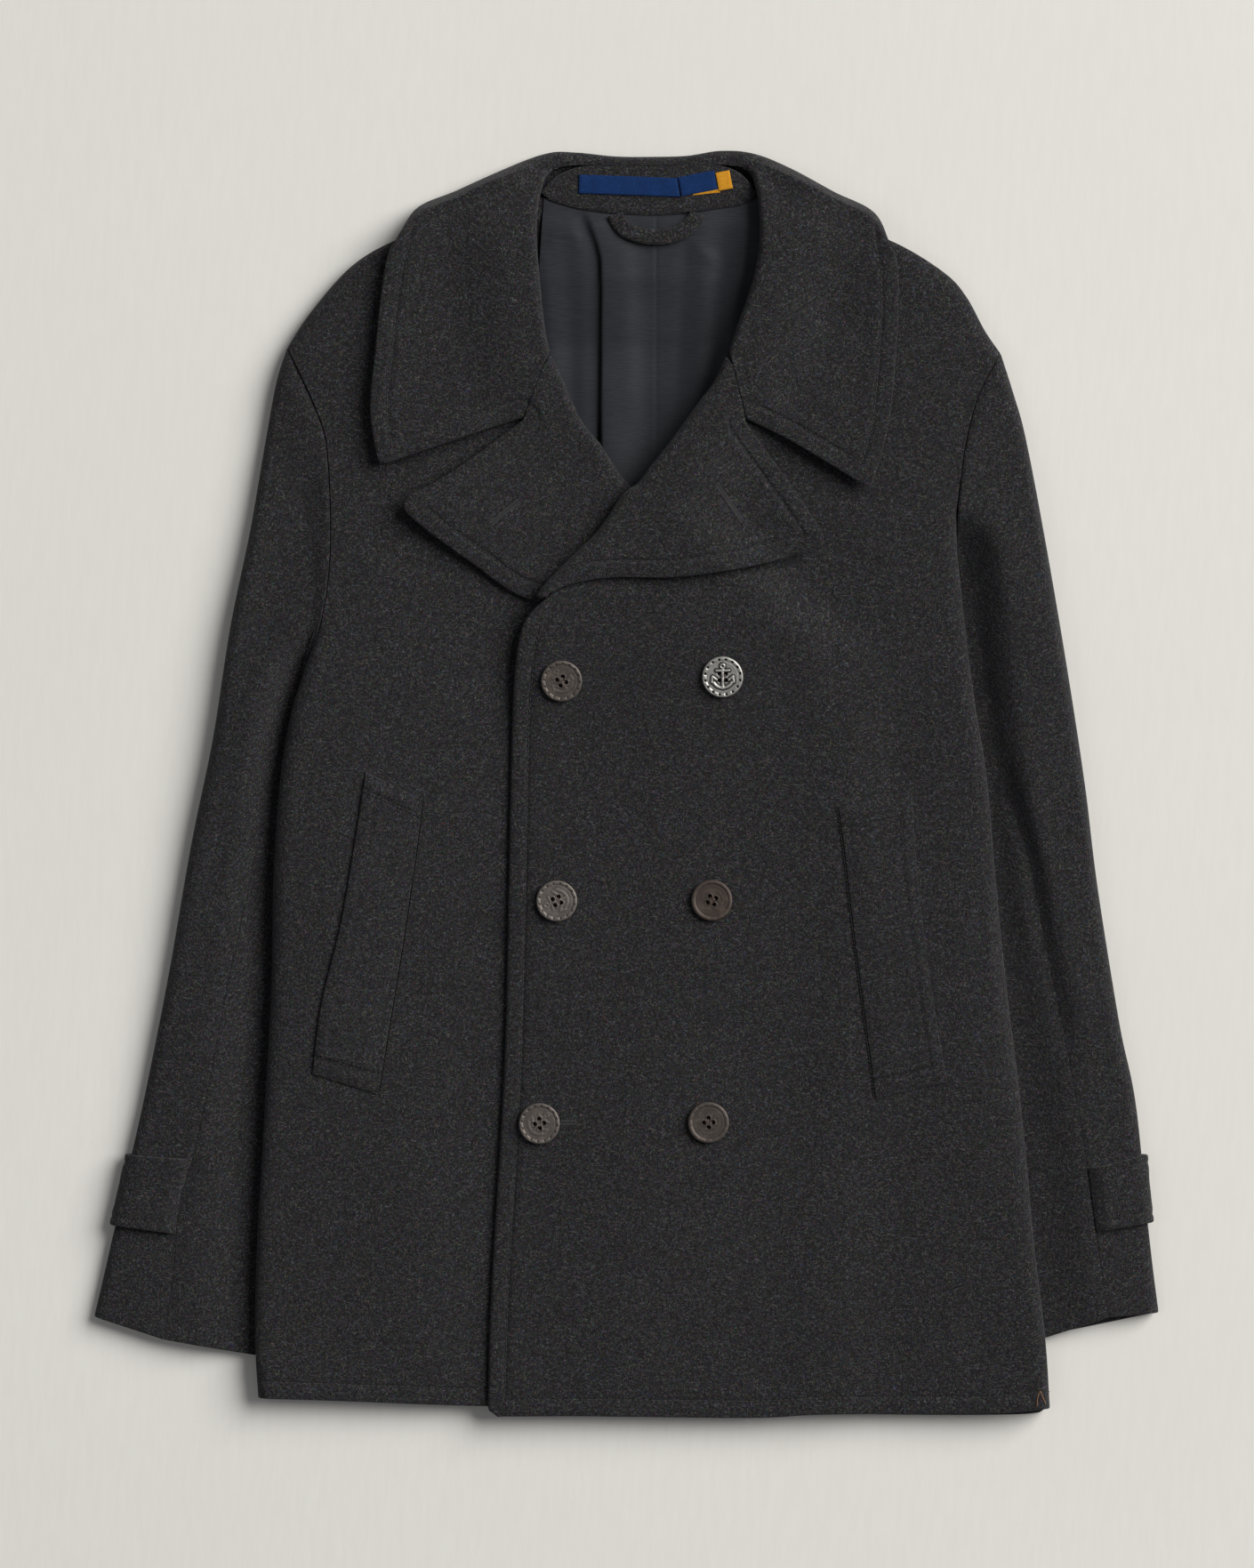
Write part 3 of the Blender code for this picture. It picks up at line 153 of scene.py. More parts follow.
# Lapels from the break to the gorge: x and y on the roll, x and y on the edge, lift off the front
RIGHT_LAPEL = [(68, 123, 58, 121.6, 0), (47, 148, 0, 121.2, 0), (22, 178, -63.5, 123.3, 0.5),
               (-1.1, 204, -105, 148.7, 3), (-9, 215, -145.8, 179.6, 7), (-18.1, 229, -150, 191.5, 9),
               (-29.7, 243, -118.1, 209.4, 5), (-40.1, 264, -70.4, 243.8, 1), (-46.3, 278.6, -65.3, 257.3, 0.6),
               (-51, 287.6, -55.6, 281.6, 0)]
LEFT_LAPEL = [(-61.5, 126.2, -56, 125.4, 0), (-53.1, 136.8, -39.3, 133.2, 0), (-37.5, 152.4, -10.1, 138.2, 1),
              (-19.5, 170.4, 35.7, 138.6, 3), (-3.3, 193.8, 87.7, 147, 6), (6.7, 201.6, 129, 159.4, 10),
              (14.7, 212, 133.2, 166, 11), (30.3, 232, 113, 197, 6), (48.7, 257.5, 80, 242.6, 1),
              (57.8, 269.4, 77.1, 255.8, 0.6), (66, 286.8, 70.6, 281.4, 0)]
RIGHT_LAPEL_CORNERS = (5, 7)  # rows of its tip and of the notch
LEFT_LAPEL_CORNERS = (6, 8)
# Collar from the wearer's right gorge round the back neck to the left gorge: x, y and height of the roll, degrees
# that its lip turns, x and y of the edge or of the fold over the shoulder, share of that fold, length behind
COLLAR = [
    (-52, 291, 27.5, 180, -70.2, 246, 0, 0), (-54.5, 303, 27.9, 180, -111, 232.6, 0, 0),
    (-57, 322, 28.3, 180, -167, 213.5, 0, 0), (-58.6, 340, 28.5, 180, -172.6, 250, 0, 0),
    (-60, 357, 28, 180, -169.3, 290, 0, 0), (-60.5, 372, 26.7, 180, -165, 330, 0, 0),
    (-60, 385, 24.4, 180, -159, 360, 0, 0), (-58.2, 396, 21.5, 180, -144, 383, 0.55, 0),
    (-56, 405, 18, 150, -118, 394.5, 1, 26), (-53, 411, 14.5, 100, -86, 409.5, 1, 62),
    (-47, 413.5, 11.5, 45, -55, 424.4, 1, 76), (-32, 412, 10, 0, -34, 425.6, 1, 77),
    (-8, 411.5, 10, 0, -8, 423, 1, 76), (16, 411.5, 10, 0, 16, 422.7, 1, 76), (40, 411.6, 10, 0, 40, 423.4, 1, 76),
    (62, 412.2, 10, 0, 63, 426.8, 1, 77), (77, 414, 11.5, 45, 86, 424.2, 1, 76),
    (83, 411, 14.5, 100, 113, 410.5, 1, 62), (86, 403, 18.5, 150, 142, 394, 1, 26),
    (88, 392, 23, 180, 169, 380, 0.55, 0), (88.9, 379, 26.5, 180, 180.4, 355, 0, 0),
    (88.8, 365, 29.3, 180, 182.4, 330, 0, 0), (87, 350, 30.3, 180, 180.8, 290, 0, 0),
    (83.5, 336, 30.5, 180, 175.5, 240, 0, 0), (79, 322, 30.5, 180, 163.5, 198, 0, 0),
    (73.5, 307, 30.5, 180, 113.7, 228, 0, 0), (68.4, 291, 30.5, 180, 80.2, 244.8, 0, 0)]
COLLAR_CORNERS = (2, 24)  # rows of its tips

# Stand inside the neck from the wearer's right to the left: x and y at the neck seam, x and y at the collar's fold
STAND = [(-58, 398.2, -57, 399.8), (-52, 395.6, -52, 404), (-44, 393, -44, 409.6), (-30, 389.4, -30, 414.6),
         (-8, 386.8, -8, 415.2), (16, 385.6, 16, 415.2), (40, 387, 40, 415.4), (60, 390.2, 60, 415.6),
         (72, 391.6, 72, 412), (80, 393.8, 80, 406.6), (87, 396.4, 86.6, 398.8)]
STAND_TOP = 9.8  # height of its upper side

# Pocket welts from the top to the bottom: x and y at the seam, x and y at the opening
RIGHT_WELT = [(-137.1, -10.2, -175.7, 8.4), (-140.1, -35, -181.5, -30), (-148.8, -96, -192, -92),
              (-156.9, -146, -205.5, -148), (-167.1, -208.8, -211.5, -195)]
LEFT_WELT = [(142.1, -15.6, 191.6, -5), (146.6, -50, 194.3, -53), (153.5, -108, 201, -112),
             (160.4, -160, 208, -160), (167.1, -211.8, 215.1, -200)]
# Cuff tabs: share of the sleeve's length at the top edge and at the bottom edge, reach from the seam round the edge
TABS = {"right": (0.831, 0.9055, 78.0), "left": (0.836, 0.907, 74.0)}
# How much later the other lines of a sleeve run than its outer fold, so that its sections lie straight across
SLANTS = {"right": 0.66, "left": 0.17}
UNDERSIDE_SLANT = 0.2
# Middle of the hanger loop: x, y
LOOP = [(-7.9, 383.6), (-6.6, 379.8), (-1.2, 373.2), (9, 369.2), (21, 368.1), (32, 369.8), (39.8, 373.9),
        (45.3, 379.6), (47.4, 384.6)]
LOOP_WIDTH = 11.0
# Labels on the stand: x and y of the lower left corner, width at the bottom, height, turn in degrees, width at the top
LABELS = {"maker_label": (-32.7, 397.5, 68.6, 12.9, -2, 66.0), "size_label": (36.6, 395.5, 25, 13.3, 11, 25),
          "size_tab": (61.75, 399.1, 9.8, 12.6, 11, 9.8), "size_tab_tail": (44.3, 396.3, 18.5, 3.0, 6, 18.5)}

# Creases and swells of the body, and of the sleeves: points along, half width, height (less than 0 for a valley)
BODY_FOLDS = [
    ([(-150, 150), (-120, 60), (-110, -60), (-118, -160)], 38, 1.6),
    ([(190, 90), (182, 30), (178, -20)], 20, -1.6),
    ([(228, -70), (238, -180), (250, -330)], 26, 1.4),
    ([(120, -40), (112, -160), (124, -300)], 34, -1.2),
    ([(-150, -240), (-140, -330), (-150, -415)], 30, 1.5),
    ([(20, 20), (14, -120), (22, -300)], 40, 1.0),
    ([(190, 250), (160, 190), (120, 120)], 26, -1.4),
    ([(-190, 230), (-150, 160), (-100, 110)], 26, -1.0),
]
SLEEVE_FOLDS = {
    "right": [([(-222, 180), (-240, 120), (-262, 60)], 12, -1.8), ([(-214, 130), (-238, 70), (-262, 0)], 14, 1.8),
              ([(-262, -20), (-290, -80)], 14, -1.4), ([(-268, -150), (-300, -190)], 16, 1.2)],
    "left": [([(232, 200), (262, 130), (292, 60)], 14, 1.8), ([(280, 0), (300, -60)], 14, -1.5),
             ([(292, -120), (318, -160)], 15, 1.4), ([(250, 60), (272, 20)], 12, -1.2)],
}


def ramp(low, high, x):
    """0 up to low, 1 from high on, and straight between; low may be the greater one."""
    return np.clip((np.asarray(x, float) - low) / (high - low), 0, 1)


def step(low, high, x):
    """The same, but smooth between."""
    t = ramp(low, high, x)
    return t * t * (3 - 2 * t)


def hump(distance, width):
    """1 at no distance, falling off smoothly on both sides over about a width."""
    return np.exp(-((distance / width) ** 2))


def through(rows, column, x):
    """A column of a table, read at x in its first column by cubic curves through its rows."""
    table = np.array(rows, float)
    xs, ys = table[:, 0], table[:, column]
    slopes = np.gradient(ys, xs)
    k = np.clip(np.searchsorted(xs, x) - 1, 0, len(xs) - 2)
    width = xs[k + 1] - xs[k]
    t = np.clip((x - xs[k]) / width, 0, 1)
    rise = (2 * t**3 - 3 * t**2 + 1) * ys[k] + (3 * t**2 - 2 * t**3) * ys[k + 1]
    return rise + width * ((t**3 - 2 * t**2 + t) * slopes[k] + (t**3 - t**2) * slopes[k + 1])


def section(rows, s, corners=()):
    """Rows number s of a table, where s may lie between rows; the rows in corners stay sharp."""
    table = np.array(rows, float)
    s = np.asarray(s, float)
    k = np.minimum(s.astype(int), len(table) - 2)
    t = (s - k)[..., None]
    b, c = table[k], table[k + 1]
    starts = ((k == 0) | np.isin(k, corners))[..., None]
    stops = ((k + 2 == len(table)) | np.isin(k + 1, corners))[..., None]
    a = np.where(starts, 2 * b - c, table[np.maximum(k - 1, 0)])
    d = np.where(stops, 2 * c - b, table[np.minimum(k + 2, len(table) - 1)])
    return 0.5 * (2 * b + (c - a) * t + (2 * a - 5 * b + 4 * c - d) * t**2 + (3 * b - a - 3 * c + d) * t**3)


def unit(vectors):
    length = np.linalg.norm(vectors, axis=-1, keepdims=True)
    return vectors / np.maximum(length, 1e-9)


class Line:
    """A smooth line through points, read by the share of its length."""

    def __init__(self, points, per_span=12):
        self.points = section(points, np.linspace(0, len(points) - 1, per_span * (len(points) - 1) + 1))
        self.measure()

    def measure(self):
        runs = np.linalg.norm(np.diff(self.points, axis=0), axis=1)
        self.along = np.concatenate([[0], np.cumsum(runs)])
        self.length = self.along[-1]

    def __call__(self, share):
        at = np.asarray(share, float) * self.length
        return np.stack([np.interp(at, self.along, self.points[:, i]) for i in range(self.points.shape[1])], axis=-1)

    def beside(self, places):
        """Distance of each place from the line, and the share of its length beside that place."""
        flat = places.reshape(-1, places.shape[-1])
        start, way = self.points[:-1], np.diff(self.points, axis=0)
        squared = np.maximum((way**2).sum(1), 1e-12)
        gaps, shares = [], []
        for batch in np.array_split(flat, max(1, len(flat) * len(start) // 2_000_000)):
            off = batch[:, None, :] - start
            t = np.clip((off * way).sum(-1) / squared, 0, 1)
            gap = ((off - t[..., None] * way) ** 2).sum(-1)
            nearest = gap.argmin(1)
            row = np.arange(len(batch))
            gaps.append(np.sqrt(gap[row, nearest]))
            shares.append((self.along[nearest] + t[row, nearest] * np.sqrt(squared[nearest])) / self.length)
        return np.concatenate(gaps).reshape(places.shape[:-1]), np.concatenate(shares).reshape(places.shape[:-1])

    def distance(self, x, y):
        return self.beside(np.stack(np.broadcast_arrays(x, y), axis=-1).astype(float))[0]


def gap_between(first, second, v):
    """Distances between two lines, each read at the same shares of its length, as a column."""
    return np.linalg.norm(first(v) - second(v), axis=1)[:, None]


def joined(*runs):
    """One line along several that meet, with the share of its length where the first one ends."""
    whole, *others = [Line(run) for run in runs]
    first = whole.length
    whole.points = np.vstack([whole.points, *[line.points[1:] for line in others]])
    whole.measure()
    return whole, first / whole.length


ROLLS = {"right": Line([row[:2] for row in RIGHT_LAPEL] + [row[:2] for row in COLLAR[:8]]),
         "left": Line([row[:2] for row in LEFT_LAPEL] + [row[:2] for row in COLLAR[:18:-1]])}


# Heights of the layers, each as a rule over x and y


def waves(x, y, pitch, seed):
    """Gentle unevenness between about -1 and 1, out of seven waves that run any way."""
    chance = np.random.default_rng(seed)
    total = 0
    for _ in range(7):
        angle, size, phase = chance.uniform(0, math.pi), pitch * chance.uniform(0.7, 1.6), chance.uniform(0, 7)
        total = total + np.sin((x * math.cos(angle) + y * math.sin(angle)) * 2 * math.pi / size + phase)
    return total / 4


def folds(x, y, table):
    """Height of the creases and swells of a table at each place, tapered towards their ends."""
    total = np.zeros(np.broadcast(x, y).shape)
    places = np.stack(np.broadcast_arrays(x, y), axis=-1).astype(float)
    for points, width, height in table:
        gap, share = Line(points, 6).beside(places)
        total += height * hump(gap, width) * np.sin(math.pi * np.clip(share, 0.02, 0.98)) ** 0.7
    return total


def body_height(x, y):
    """Top of a single front."""
    middle = through(BODY_HEIGHTS, 2, y)
    side = np.where(x < CENTRE_X, through(BODY_HEIGHTS, 1, y), through(BODY_HEIGHTS, 3, y))
    return middle + (side - middle) * step(70, 225, abs(x - CENTRE_X))


def drape(x, y):
    """Soft folds of the fronts."""
    return folds(x, y, BODY_FOLDS) + 0.7 * waves(x, y, 150, 3) + 0.25 * waves(x, y, 48, 8)


def roll_share(side, x, y):
    """How far a front is raised towards its roll line, 0 to 1."""
    return step(64, 15, ROLLS[side].distance(x, y)) * step(404, 376, y)


def right_front_height(x, y):
    """Top of the right front."""
    base = body_height(x, y) + drape(x, y)
    at_roll = through(ROLL_HEIGHTS, 1, y) - DOUBLE - REST
    return base + np.maximum(at_roll - base, 0) * roll_share("right", x, y) * step(190, 215, y)


def left_front_height(x, y):
    """Top of the left front, which lies over the right one."""
    base = body_height(x, y) + drape(x, y)
    edge = through(OVERLAP_EDGE, 1, y)
    raised = FRONT_OVER_FRONT + (FRONT_OVER_LAPEL - FRONT_OVER_FRONT) * step(20, 110, y)
    overlap = raised * step(edge + 70, edge + 9, x)
    at_roll = through(ROLL_HEIGHTS, 2, y) - DOUBLE - REST
    roll = np.maximum(at_roll - base, 0) * roll_share("left", x, y) * step(108, 124, y)
    return base + np.maximum(overlap, roll)


def back_height(x, y):
    """Underside of the back, lifted where a sleeve or the collar lies under it."""
    right_edge = through(SLEEVE_BEHIND, 1, y) + LIFT_IN
    left_edge = through(SLEEVE_BEHIND, 2, y) - LIFT_IN
    right = ramp(right_edge + LIFT_RAMP, right_edge, x) * ramp(142, 106, y) * ramp(-415, -393, y)
    left = ramp(left_edge - LIFT_RAMP, left_edge, x) * ramp(195, 160, y) * ramp(-420, -389, y)
    collar = ramp(296, 340, y) * ramp(210, 180, abs(x - CENTRE_X))
    return np.maximum(BODY_OVER_SLEEVE * np.maximum(right, left), BODY_OVER_COLLAR * collar)


# Closing grids of points into cloth


def facing(points):
    """The outward direction at each point of a grid."""
    across = np.gradient(points, axis=1)
    along = np.gradient(points, axis=0)
    return unit(np.cross(across, along))


def turned_over(grid):
    return grid[:, ::-1]


def coordinates(plan):
    """Its x and its y."""
    return plan[..., 0], plan[..., 1]


def face_up(grid, *others):
    """The grid and what goes with it, turned over if the grid faces down."""
    if facing(grid)[0, 0, 2] < 0:
        return [turned_over(one) for one in (grid, *others)]
    return [grid, *others]


def placed(name, data):
    """A new object in the scene."""
    made = bpy.data.objects.new(name, data)
    bpy.context.scene.collection.objects.link(made)
    return made


def add_piece(name, points, faces, material, slot):
    name += "_cloth" if slot in ("wool", "lining") else "_made"
    mesh = bpy.data.meshes.new(name)
    mesh.from_pydata((np.asarray(points) * MM).tolist(), [], faces)
    mesh.validate()
    mesh.shade_smooth()
    piece = placed(name, mesh)
    mesh.materials.append(material)
    return piece


def painted(piece, name, values):
    """A value for the finish at each point of a piece."""
    piece.data.attributes.new(name, "FLOAT", "POINT").data.foreach_set("value", values)


def quad_strip(first, second):
    """Faces between two lines of point numbers."""
    return np.stack([first[:-1], first[1:], second[1:], second[:-1]], axis=-1)


def cloth(name, top, wall, material, slot, reach):
    """Closed cloth from the points of its outer side, with rounded edges. reach is how far each edge point's rounding
    takes up, in mm, and never more than most of the way to the next point in."""
    rows, columns = top.shape[:2]
    wall = np.broadcast_to(wall, (rows, columns))
    reach = np.broadcast_to(reach, (rows, columns))
    out = facing(top)
    number = np.arange(rows * columns).reshape(rows, columns)
    border = np.concatenate([number[0, :-1], number[:-1, -1], number[-1, :0:-1], number[:0:-1, 0]])
    row, column = border // columns, border % columns
    inner = top[np.clip(row, 1, rows - 2), np.clip(column, 1, columns - 2)]
    normal = out[row, column]
    away = top[row, column] - inner
    away -= (away * normal).sum(1, keepdims=True) * normal
    gap = np.linalg.norm(away, axis=1, keepdims=True)
    away /= np.maximum(gap, 1e-9)
    span = np.minimum(reach[row, column][:, None], 0.7 * gap)
    flat = top.reshape(-1, 3).copy()
    flat[border] -= away * span
    under = flat - out.reshape(-1, 3) * wall.reshape(-1, 1)
    thick = wall[row, column][:, None]
    middle = flat[border] - normal * thick / 2
    rings = [middle + normal * thick / 2 * math.cos(a) + away * span * math.sin(a)
             for a in np.radians([30, 60, 90, 120, 150])]
    total = rows * columns
    points = np.vstack([flat, under, *rings])
    points[:, 2] = np.maximum(points[:, 2], LOWEST)
    quads = [np.stack([number[:-1, :-1], number[:-1, 1:], number[1:, 1:], number[1:, :-1]], -1).reshape(-1, 4)]
    quads.append(quads[0][:, ::-1] + total)
    loops = [border] + [2 * total + k * len(border) + np.arange(len(border)) for k in range(len(rings))]
    loops.append(border + total)
    for upper, lower in zip(loops, loops[1:]):
        upper, lower = np.append(upper, upper[0]), np.append(lower, lower[0])
        quads.append(quad_strip(lower, upper))
    return add_piece(name, points, np.vstack(quads).tolist(), material, slot)


def stations(start, end, pitch):
    """Evenly spaced values from start to end, about pitch apart."""
    return np.linspace(start, end, max(2, round(abs(end - start) / pitch) + 1))


SEWN = np.array([0, 3.4, 5.2, 7, 8.8, 10, 10.8, 11.4, 12, 12.8, 14, 16, 18.5, 21.5])  # steps in from a sewn edge


EDGE_FULL = 0.75  # how much cloth stands up between an edge and its topstitching
STITCH_SUNK = 1.25  # how far the stitching draws it down
FULL_BEYOND = 0.35  # how much it stands up again beyond the stitching


def edge_relief(distance, stitch=STITCH_IN, depth=1.0):
    """Relief of a topstitched edge, at a distance in from it."""
    full = EDGE_FULL * np.sin(math.pi * np.clip(distance / stitch, 0, 1)) ** 0.8
    drawn = -STITCH_SUNK * hump(distance - stitch, 1.15)
    return depth * (full + drawn + FULL_BEYOND * hump(distance - stitch - 4.5, 2.8))


# Finishes. Every pattern reads Object coordinates, in metres.


def filled(tree, node, *values, **named):
    """The node, its inputs set to values or linked to sockets, in their order or by name."""
    by_name = [(node.inputs[name.replace("_", " ")], value) for name, value in named.items()]
    for socket, value in [*zip(node.inputs, values), *by_name]:
        if isinstance(value, bpy.types.NodeSocket):
            tree.links.new(value, socket)
        else:
            socket.default_value = value
    return node


def reckoned(tree, kind, *values):
    """The result of a sum, product or the like of values and sockets."""
    node = tree.nodes.new("ShaderNodeMath")
    node.operation = kind
    return filled(tree, node, *values).outputs["Value"]


class Nodes:
    """A material's node tree, and short ways to add to it."""

    def __init__(self, name):
        self.material = bpy.data.materials.new(name)
        self.material.use_nodes = True
        self.tree = self.material.node_tree
        self.shader = self.tree.nodes["Principled BSDF"]
        self.place = self.add("ShaderNodeTexCoord").outputs["Object"]

    def add(self, kind, **named):
        return filled(self.tree, self.tree.nodes.new(kind), **named)

    def noise(self, scale, stretch=(1, 1, 1), turn=0.0, tilt=0.0, detail=2.0, rough=0.5, shift=0.0, warp=0.0):
        """Cloudy pattern from 0 to 1, turned first and stretched after. shift picks another one."""
        spun = self.add("ShaderNodeMapping", Vector=self.place, Rotation=(tilt, 0, math.radians(turn)))
        place = self.add("ShaderNodeMapping", Vector=spun.outputs["Vector"], Scale=stretch).outputs["Vector"]
        return self.cloudy(place, scale, detail, shift, rough, warp).outputs["Fac"]

    def hues(self, scale, shift):
        """Specks of every hue around a middle grey."""
        return self.cloudy(self.place, scale, 1.0, shift).outputs["Color"]

    def cloudy(self, place, scale, detail, shift, rough=0.5, warp=0.0):
        node = self.tree.nodes.new("ShaderNodeTexNoise")
        node.noise_dimensions = "4D"
        return filled(self.tree, node, Vector=place, W=shift, Scale=scale, Detail=detail, Roughness=rough,
                      Distortion=warp)

    def band(self, value, low, high, most=1):
        """0 where a value is under low, most over high, and smooth between."""
        node = self.add("ShaderNodeMapRange", Value=value, From_Min=low, From_Max=high)
        node.interpolation_type = "SMOOTHSTEP"
        return node.outputs["Result"] if most == 1 else self.part_of(node.outputs["Result"], most)

    def span(self, value, low, high):
        """A value from 0 to 1 laid between low and high."""
        return self.add("ShaderNodeMapRange", Value=value, To_Min=low, To_Max=high).outputs["Result"]

    def math(self, kind, *values):
        return reckoned(self.tree, kind, *values)

    def part_of(self, value, share):
        return self.math("MULTIPLY", value, share)

    def mix(self, share, a, b, kind="MIX"):
        """The colour a with a share of b in it. The node's sockets 0, 6 and 7 take the share and the two colours."""
        node = self.tree.nodes.new("ShaderNodeMix")
        node.data_type = "RGBA"
        node.blend_type = kind
        for index, value in ((0, share), (6, a), (7, b)):
            if isinstance(value, bpy.types.NodeSocket):
                self.tree.links.new(value, node.inputs[index])
            else:
                node.inputs[index].default_value = (*value, 1) if isinstance(value, tuple) else value
        return node.outputs[2]

    def attribute(self, name):
        node = self.tree.nodes.new("ShaderNodeAttribute")
        node.attribute_name = name
        return node.outputs["Fac"]

    def surface(self, **named):
        """Values or sockets for the inputs of the finish itself."""
        filled(self.tree, self.shader, **named)

    def bump(self, height, distance, strength):
        """A bump of a height from 0 to 1, distance metres deep."""
        node = self.add("ShaderNodeBump", Strength=strength, Distance=distance, Height=height)
        self.surface(Normal=node.outputs["Normal"])


WOOL_DARK = (0.0048, 0.0048, 0.0053)
WOOL_MIDDLE = (0.0172, 0.0170, 0.0182)
WOOL_LIGHT = (0.128, 0.126, 0.132)
WOOL_BROWN = (0.075, 0.046, 0.030)
WOOL_BLUE = (0.022, 0.036, 0.075)
# Layers of fibres lying at several angles: turn in degrees, shift, share of light fibre
FIBRE_LAYERS = [(12, 1.3, 0.55), (58, 4.1, 0.5), (103, 7.7, 0.5), (151, 9.2, 0.55)]
# Coloured flecks: tint, scale, where they start, shift, share of the tint
FLECKS = [(WOOL_BROWN, 300, 0.66, 11.0, 0.55), (WOOL_BLUE, 260, 0.64, 14.0, 0.5)]


def wool():
    """Melton: a dark felted ground with pale, brown and bluish fibres lying every way, and soft darker bands."""
    nodes = Nodes("charcoal_melton")
    mottle = nodes.noise(700, detail=2, rough=0.85, shift=2.0)
    ground = nodes.mix(nodes.band(mottle, 0.38, 0.62), WOOL_DARK, WOOL_MIDDLE)
    bands = nodes.noise(16, (1.0, 0.16, 1.0), turn=4, detail=2, shift=5.5)
    ground = nodes.mix(nodes.band(bands, 0.35, 0.75, 0.35), ground, WOOL_DARK)
    fibres = None
    height = nodes.noise(1500, detail=3, rough=0.7, shift=3.0)
    for turn, shift, share in FIBRE_LAYERS:
        strand = nodes.noise(480, (3.2, 0.6, 3.0), turn, 0.35, rough=0.6, shift=shift, warp=0.6)
        lit = nodes.band(strand, 0.575, 0.70)
        ground = nodes.mix(nodes.part_of(lit, share), ground, WOOL_LIGHT)
        fibres = lit if fibres is None else nodes.math("MAXIMUM", fibres, lit)
    for tint, scale, low, shift, share in FLECKS:
        fleck = nodes.noise(scale, (3.0, 0.8, 2.0), turn=shift * 9, shift=shift)
        ground = nodes.mix(nodes.band(fleck, low, low + 0.06, share), ground, tint)
    nodes.surface(Base_Color=nodes.mix(0.9, ground, nodes.hues(820, 17.0), "OVERLAY"),
                  Roughness=nodes.span(mottle, 0.86, 1.0), Specular_IOR_Level=0.2,
                  Sheen_Weight=0.16, Sheen_Roughness=0.5, Sheen_Tint=(0.62, 0.62, 0.66, 1))
    nodes.bump(nodes.math("ADD", nodes.part_of(height, 0.6), nodes.part_of(fibres, 0.5)), 0.00045, 0.9)
    return nodes.material


def lining():
    """Satin: fine threads across, soft gloss and a slate tint, with painted shade along its pleat."""
    nodes = Nodes("satin_lining")
    threads = nodes.noise(900, (0.12, 3.2, 1), shift=1.0)
    clouds = nodes.noise(26, detail=3, shift=4.0)
    base = nodes.mix(nodes.band(threads, 0.3, 0.7), (0.0135, 0.0155, 0.0205), (0.0225, 0.0255, 0.0325))
    base = nodes.mix(nodes.band(clouds, 0.35, 0.7, 0.5), base, (0.0125, 0.0145, 0.0190))
    # Painted shade: the colour goes near black where the painted_pleat_shade attribute is high, along the pleat
    nodes.surface(Base_Color=nodes.mix(nodes.attribute("painted_pleat_shade"), base, (0.0015, 0.0017, 0.0022)),
                  Roughness=nodes.span(threads, 0.38, 0.55), Specular_IOR_Level=0.3)
    nodes.bump(threads, 0.00018, 0.6)
    return nodes.material


def pewter():
    """Cast pewter, bare on its high places, with patina and painted shade in its hollows and its holes painted near
    black. The tone is each button's own.
    """
    nodes = Nodes("cast_pewter")
    wear_and_shade, tone = nodes.attribute("wear_and_shade"), nodes.attribute("tone")
    grain = nodes.noise(1400, detail=3, rough=0.6, shift=2.0)
    stains = nodes.noise(170, detail=4, rough=0.6, shift=6.0)
    dark = nodes.mix(tone, (0.045, 0.033, 0.027), (0.15, 0.145, 0.138))
    bright = nodes.mix(tone, (0.21, 0.165, 0.145), (0.60, 0.59, 0.56))
    # The wear_and_shade attribute lightens the bare high places and keeps the pips and the anchor's outline dark as
    # painted shade with patina
    share = nodes.math("ADD", nodes.part_of(wear_and_shade, 0.85), nodes.band(stains, 0.45, 0.75, 0.25))
    base = nodes.mix(nodes.math("MINIMUM", share, 1.0), dark, bright)
    base = nodes.mix(nodes.band(stains, 0.55, 0.7, 0.25), base, (0.10, 0.065, 0.045))
    dull = nodes.math("ADD", nodes.band(stains, 0.5, 0.7, 0.12),
                      nodes.part_of(nodes.math("SUBTRACT", 1.0, tone), 0.16))
    # Painted shade: near black where the shade_and_patina attribute is high, in the holes, and with patina in the pips
    # and round the anchor
    nodes.surface(Base_Color=nodes.mix(nodes.band(nodes.attribute("shade_and_patina"), 0.2, 0.8), base, (0.006, 0.005, 0.005)),
                  Roughness=nodes.math("ADD", nodes.span(grain, 0.34, 0.5), dull), Metallic=0.7)
    nodes.bump(nodes.math("ADD", grain, nodes.part_of(stains, 0.8)), 0.00012, 0.7)
    return nodes.material


def thread(name, dark, light):
    """Twisted thread: its plies in two tones."""
    nodes = Nodes(name)
    ply = nodes.noise(2600, (0.6, 2.2, 1), turn=35)
    nodes.surface(Base_Color=nodes.mix(nodes.band(ply, 0.35, 0.65), dark, light), Roughness=nodes.span(ply, 0.6, 0.8))
    nodes.bump(ply, 0.0001, 0.6)
    return nodes.material


def woven(name, dark, light, turn):
    """Damask label: fine crossing threads."""
    nodes = Nodes(name)
    warp = nodes.noise(2200, (3.0, 0.15, 1), turn=turn, detail=1, shift=1)
    weft = nodes.noise(2200, (0.15, 3.0, 1), turn=turn, detail=1, shift=2)
    cross = nodes.math("MAXIMUM", nodes.band(warp, 0.45, 0.65), nodes.band(weft, 0.45, 0.65))
    clouds = nodes.noise(140, shift=4)
    base = nodes.mix(cross, dark, light)
    nodes.surface(Base_Color=nodes.mix(nodes.band(clouds, 0.4, 0.7, 0.25), base, dark),
                  Roughness=nodes.span(cross, 0.65, 0.8), Specular_IOR_Level=0.12)
    nodes.bump(cross, 0.00012, 0.6)
    return nodes.material


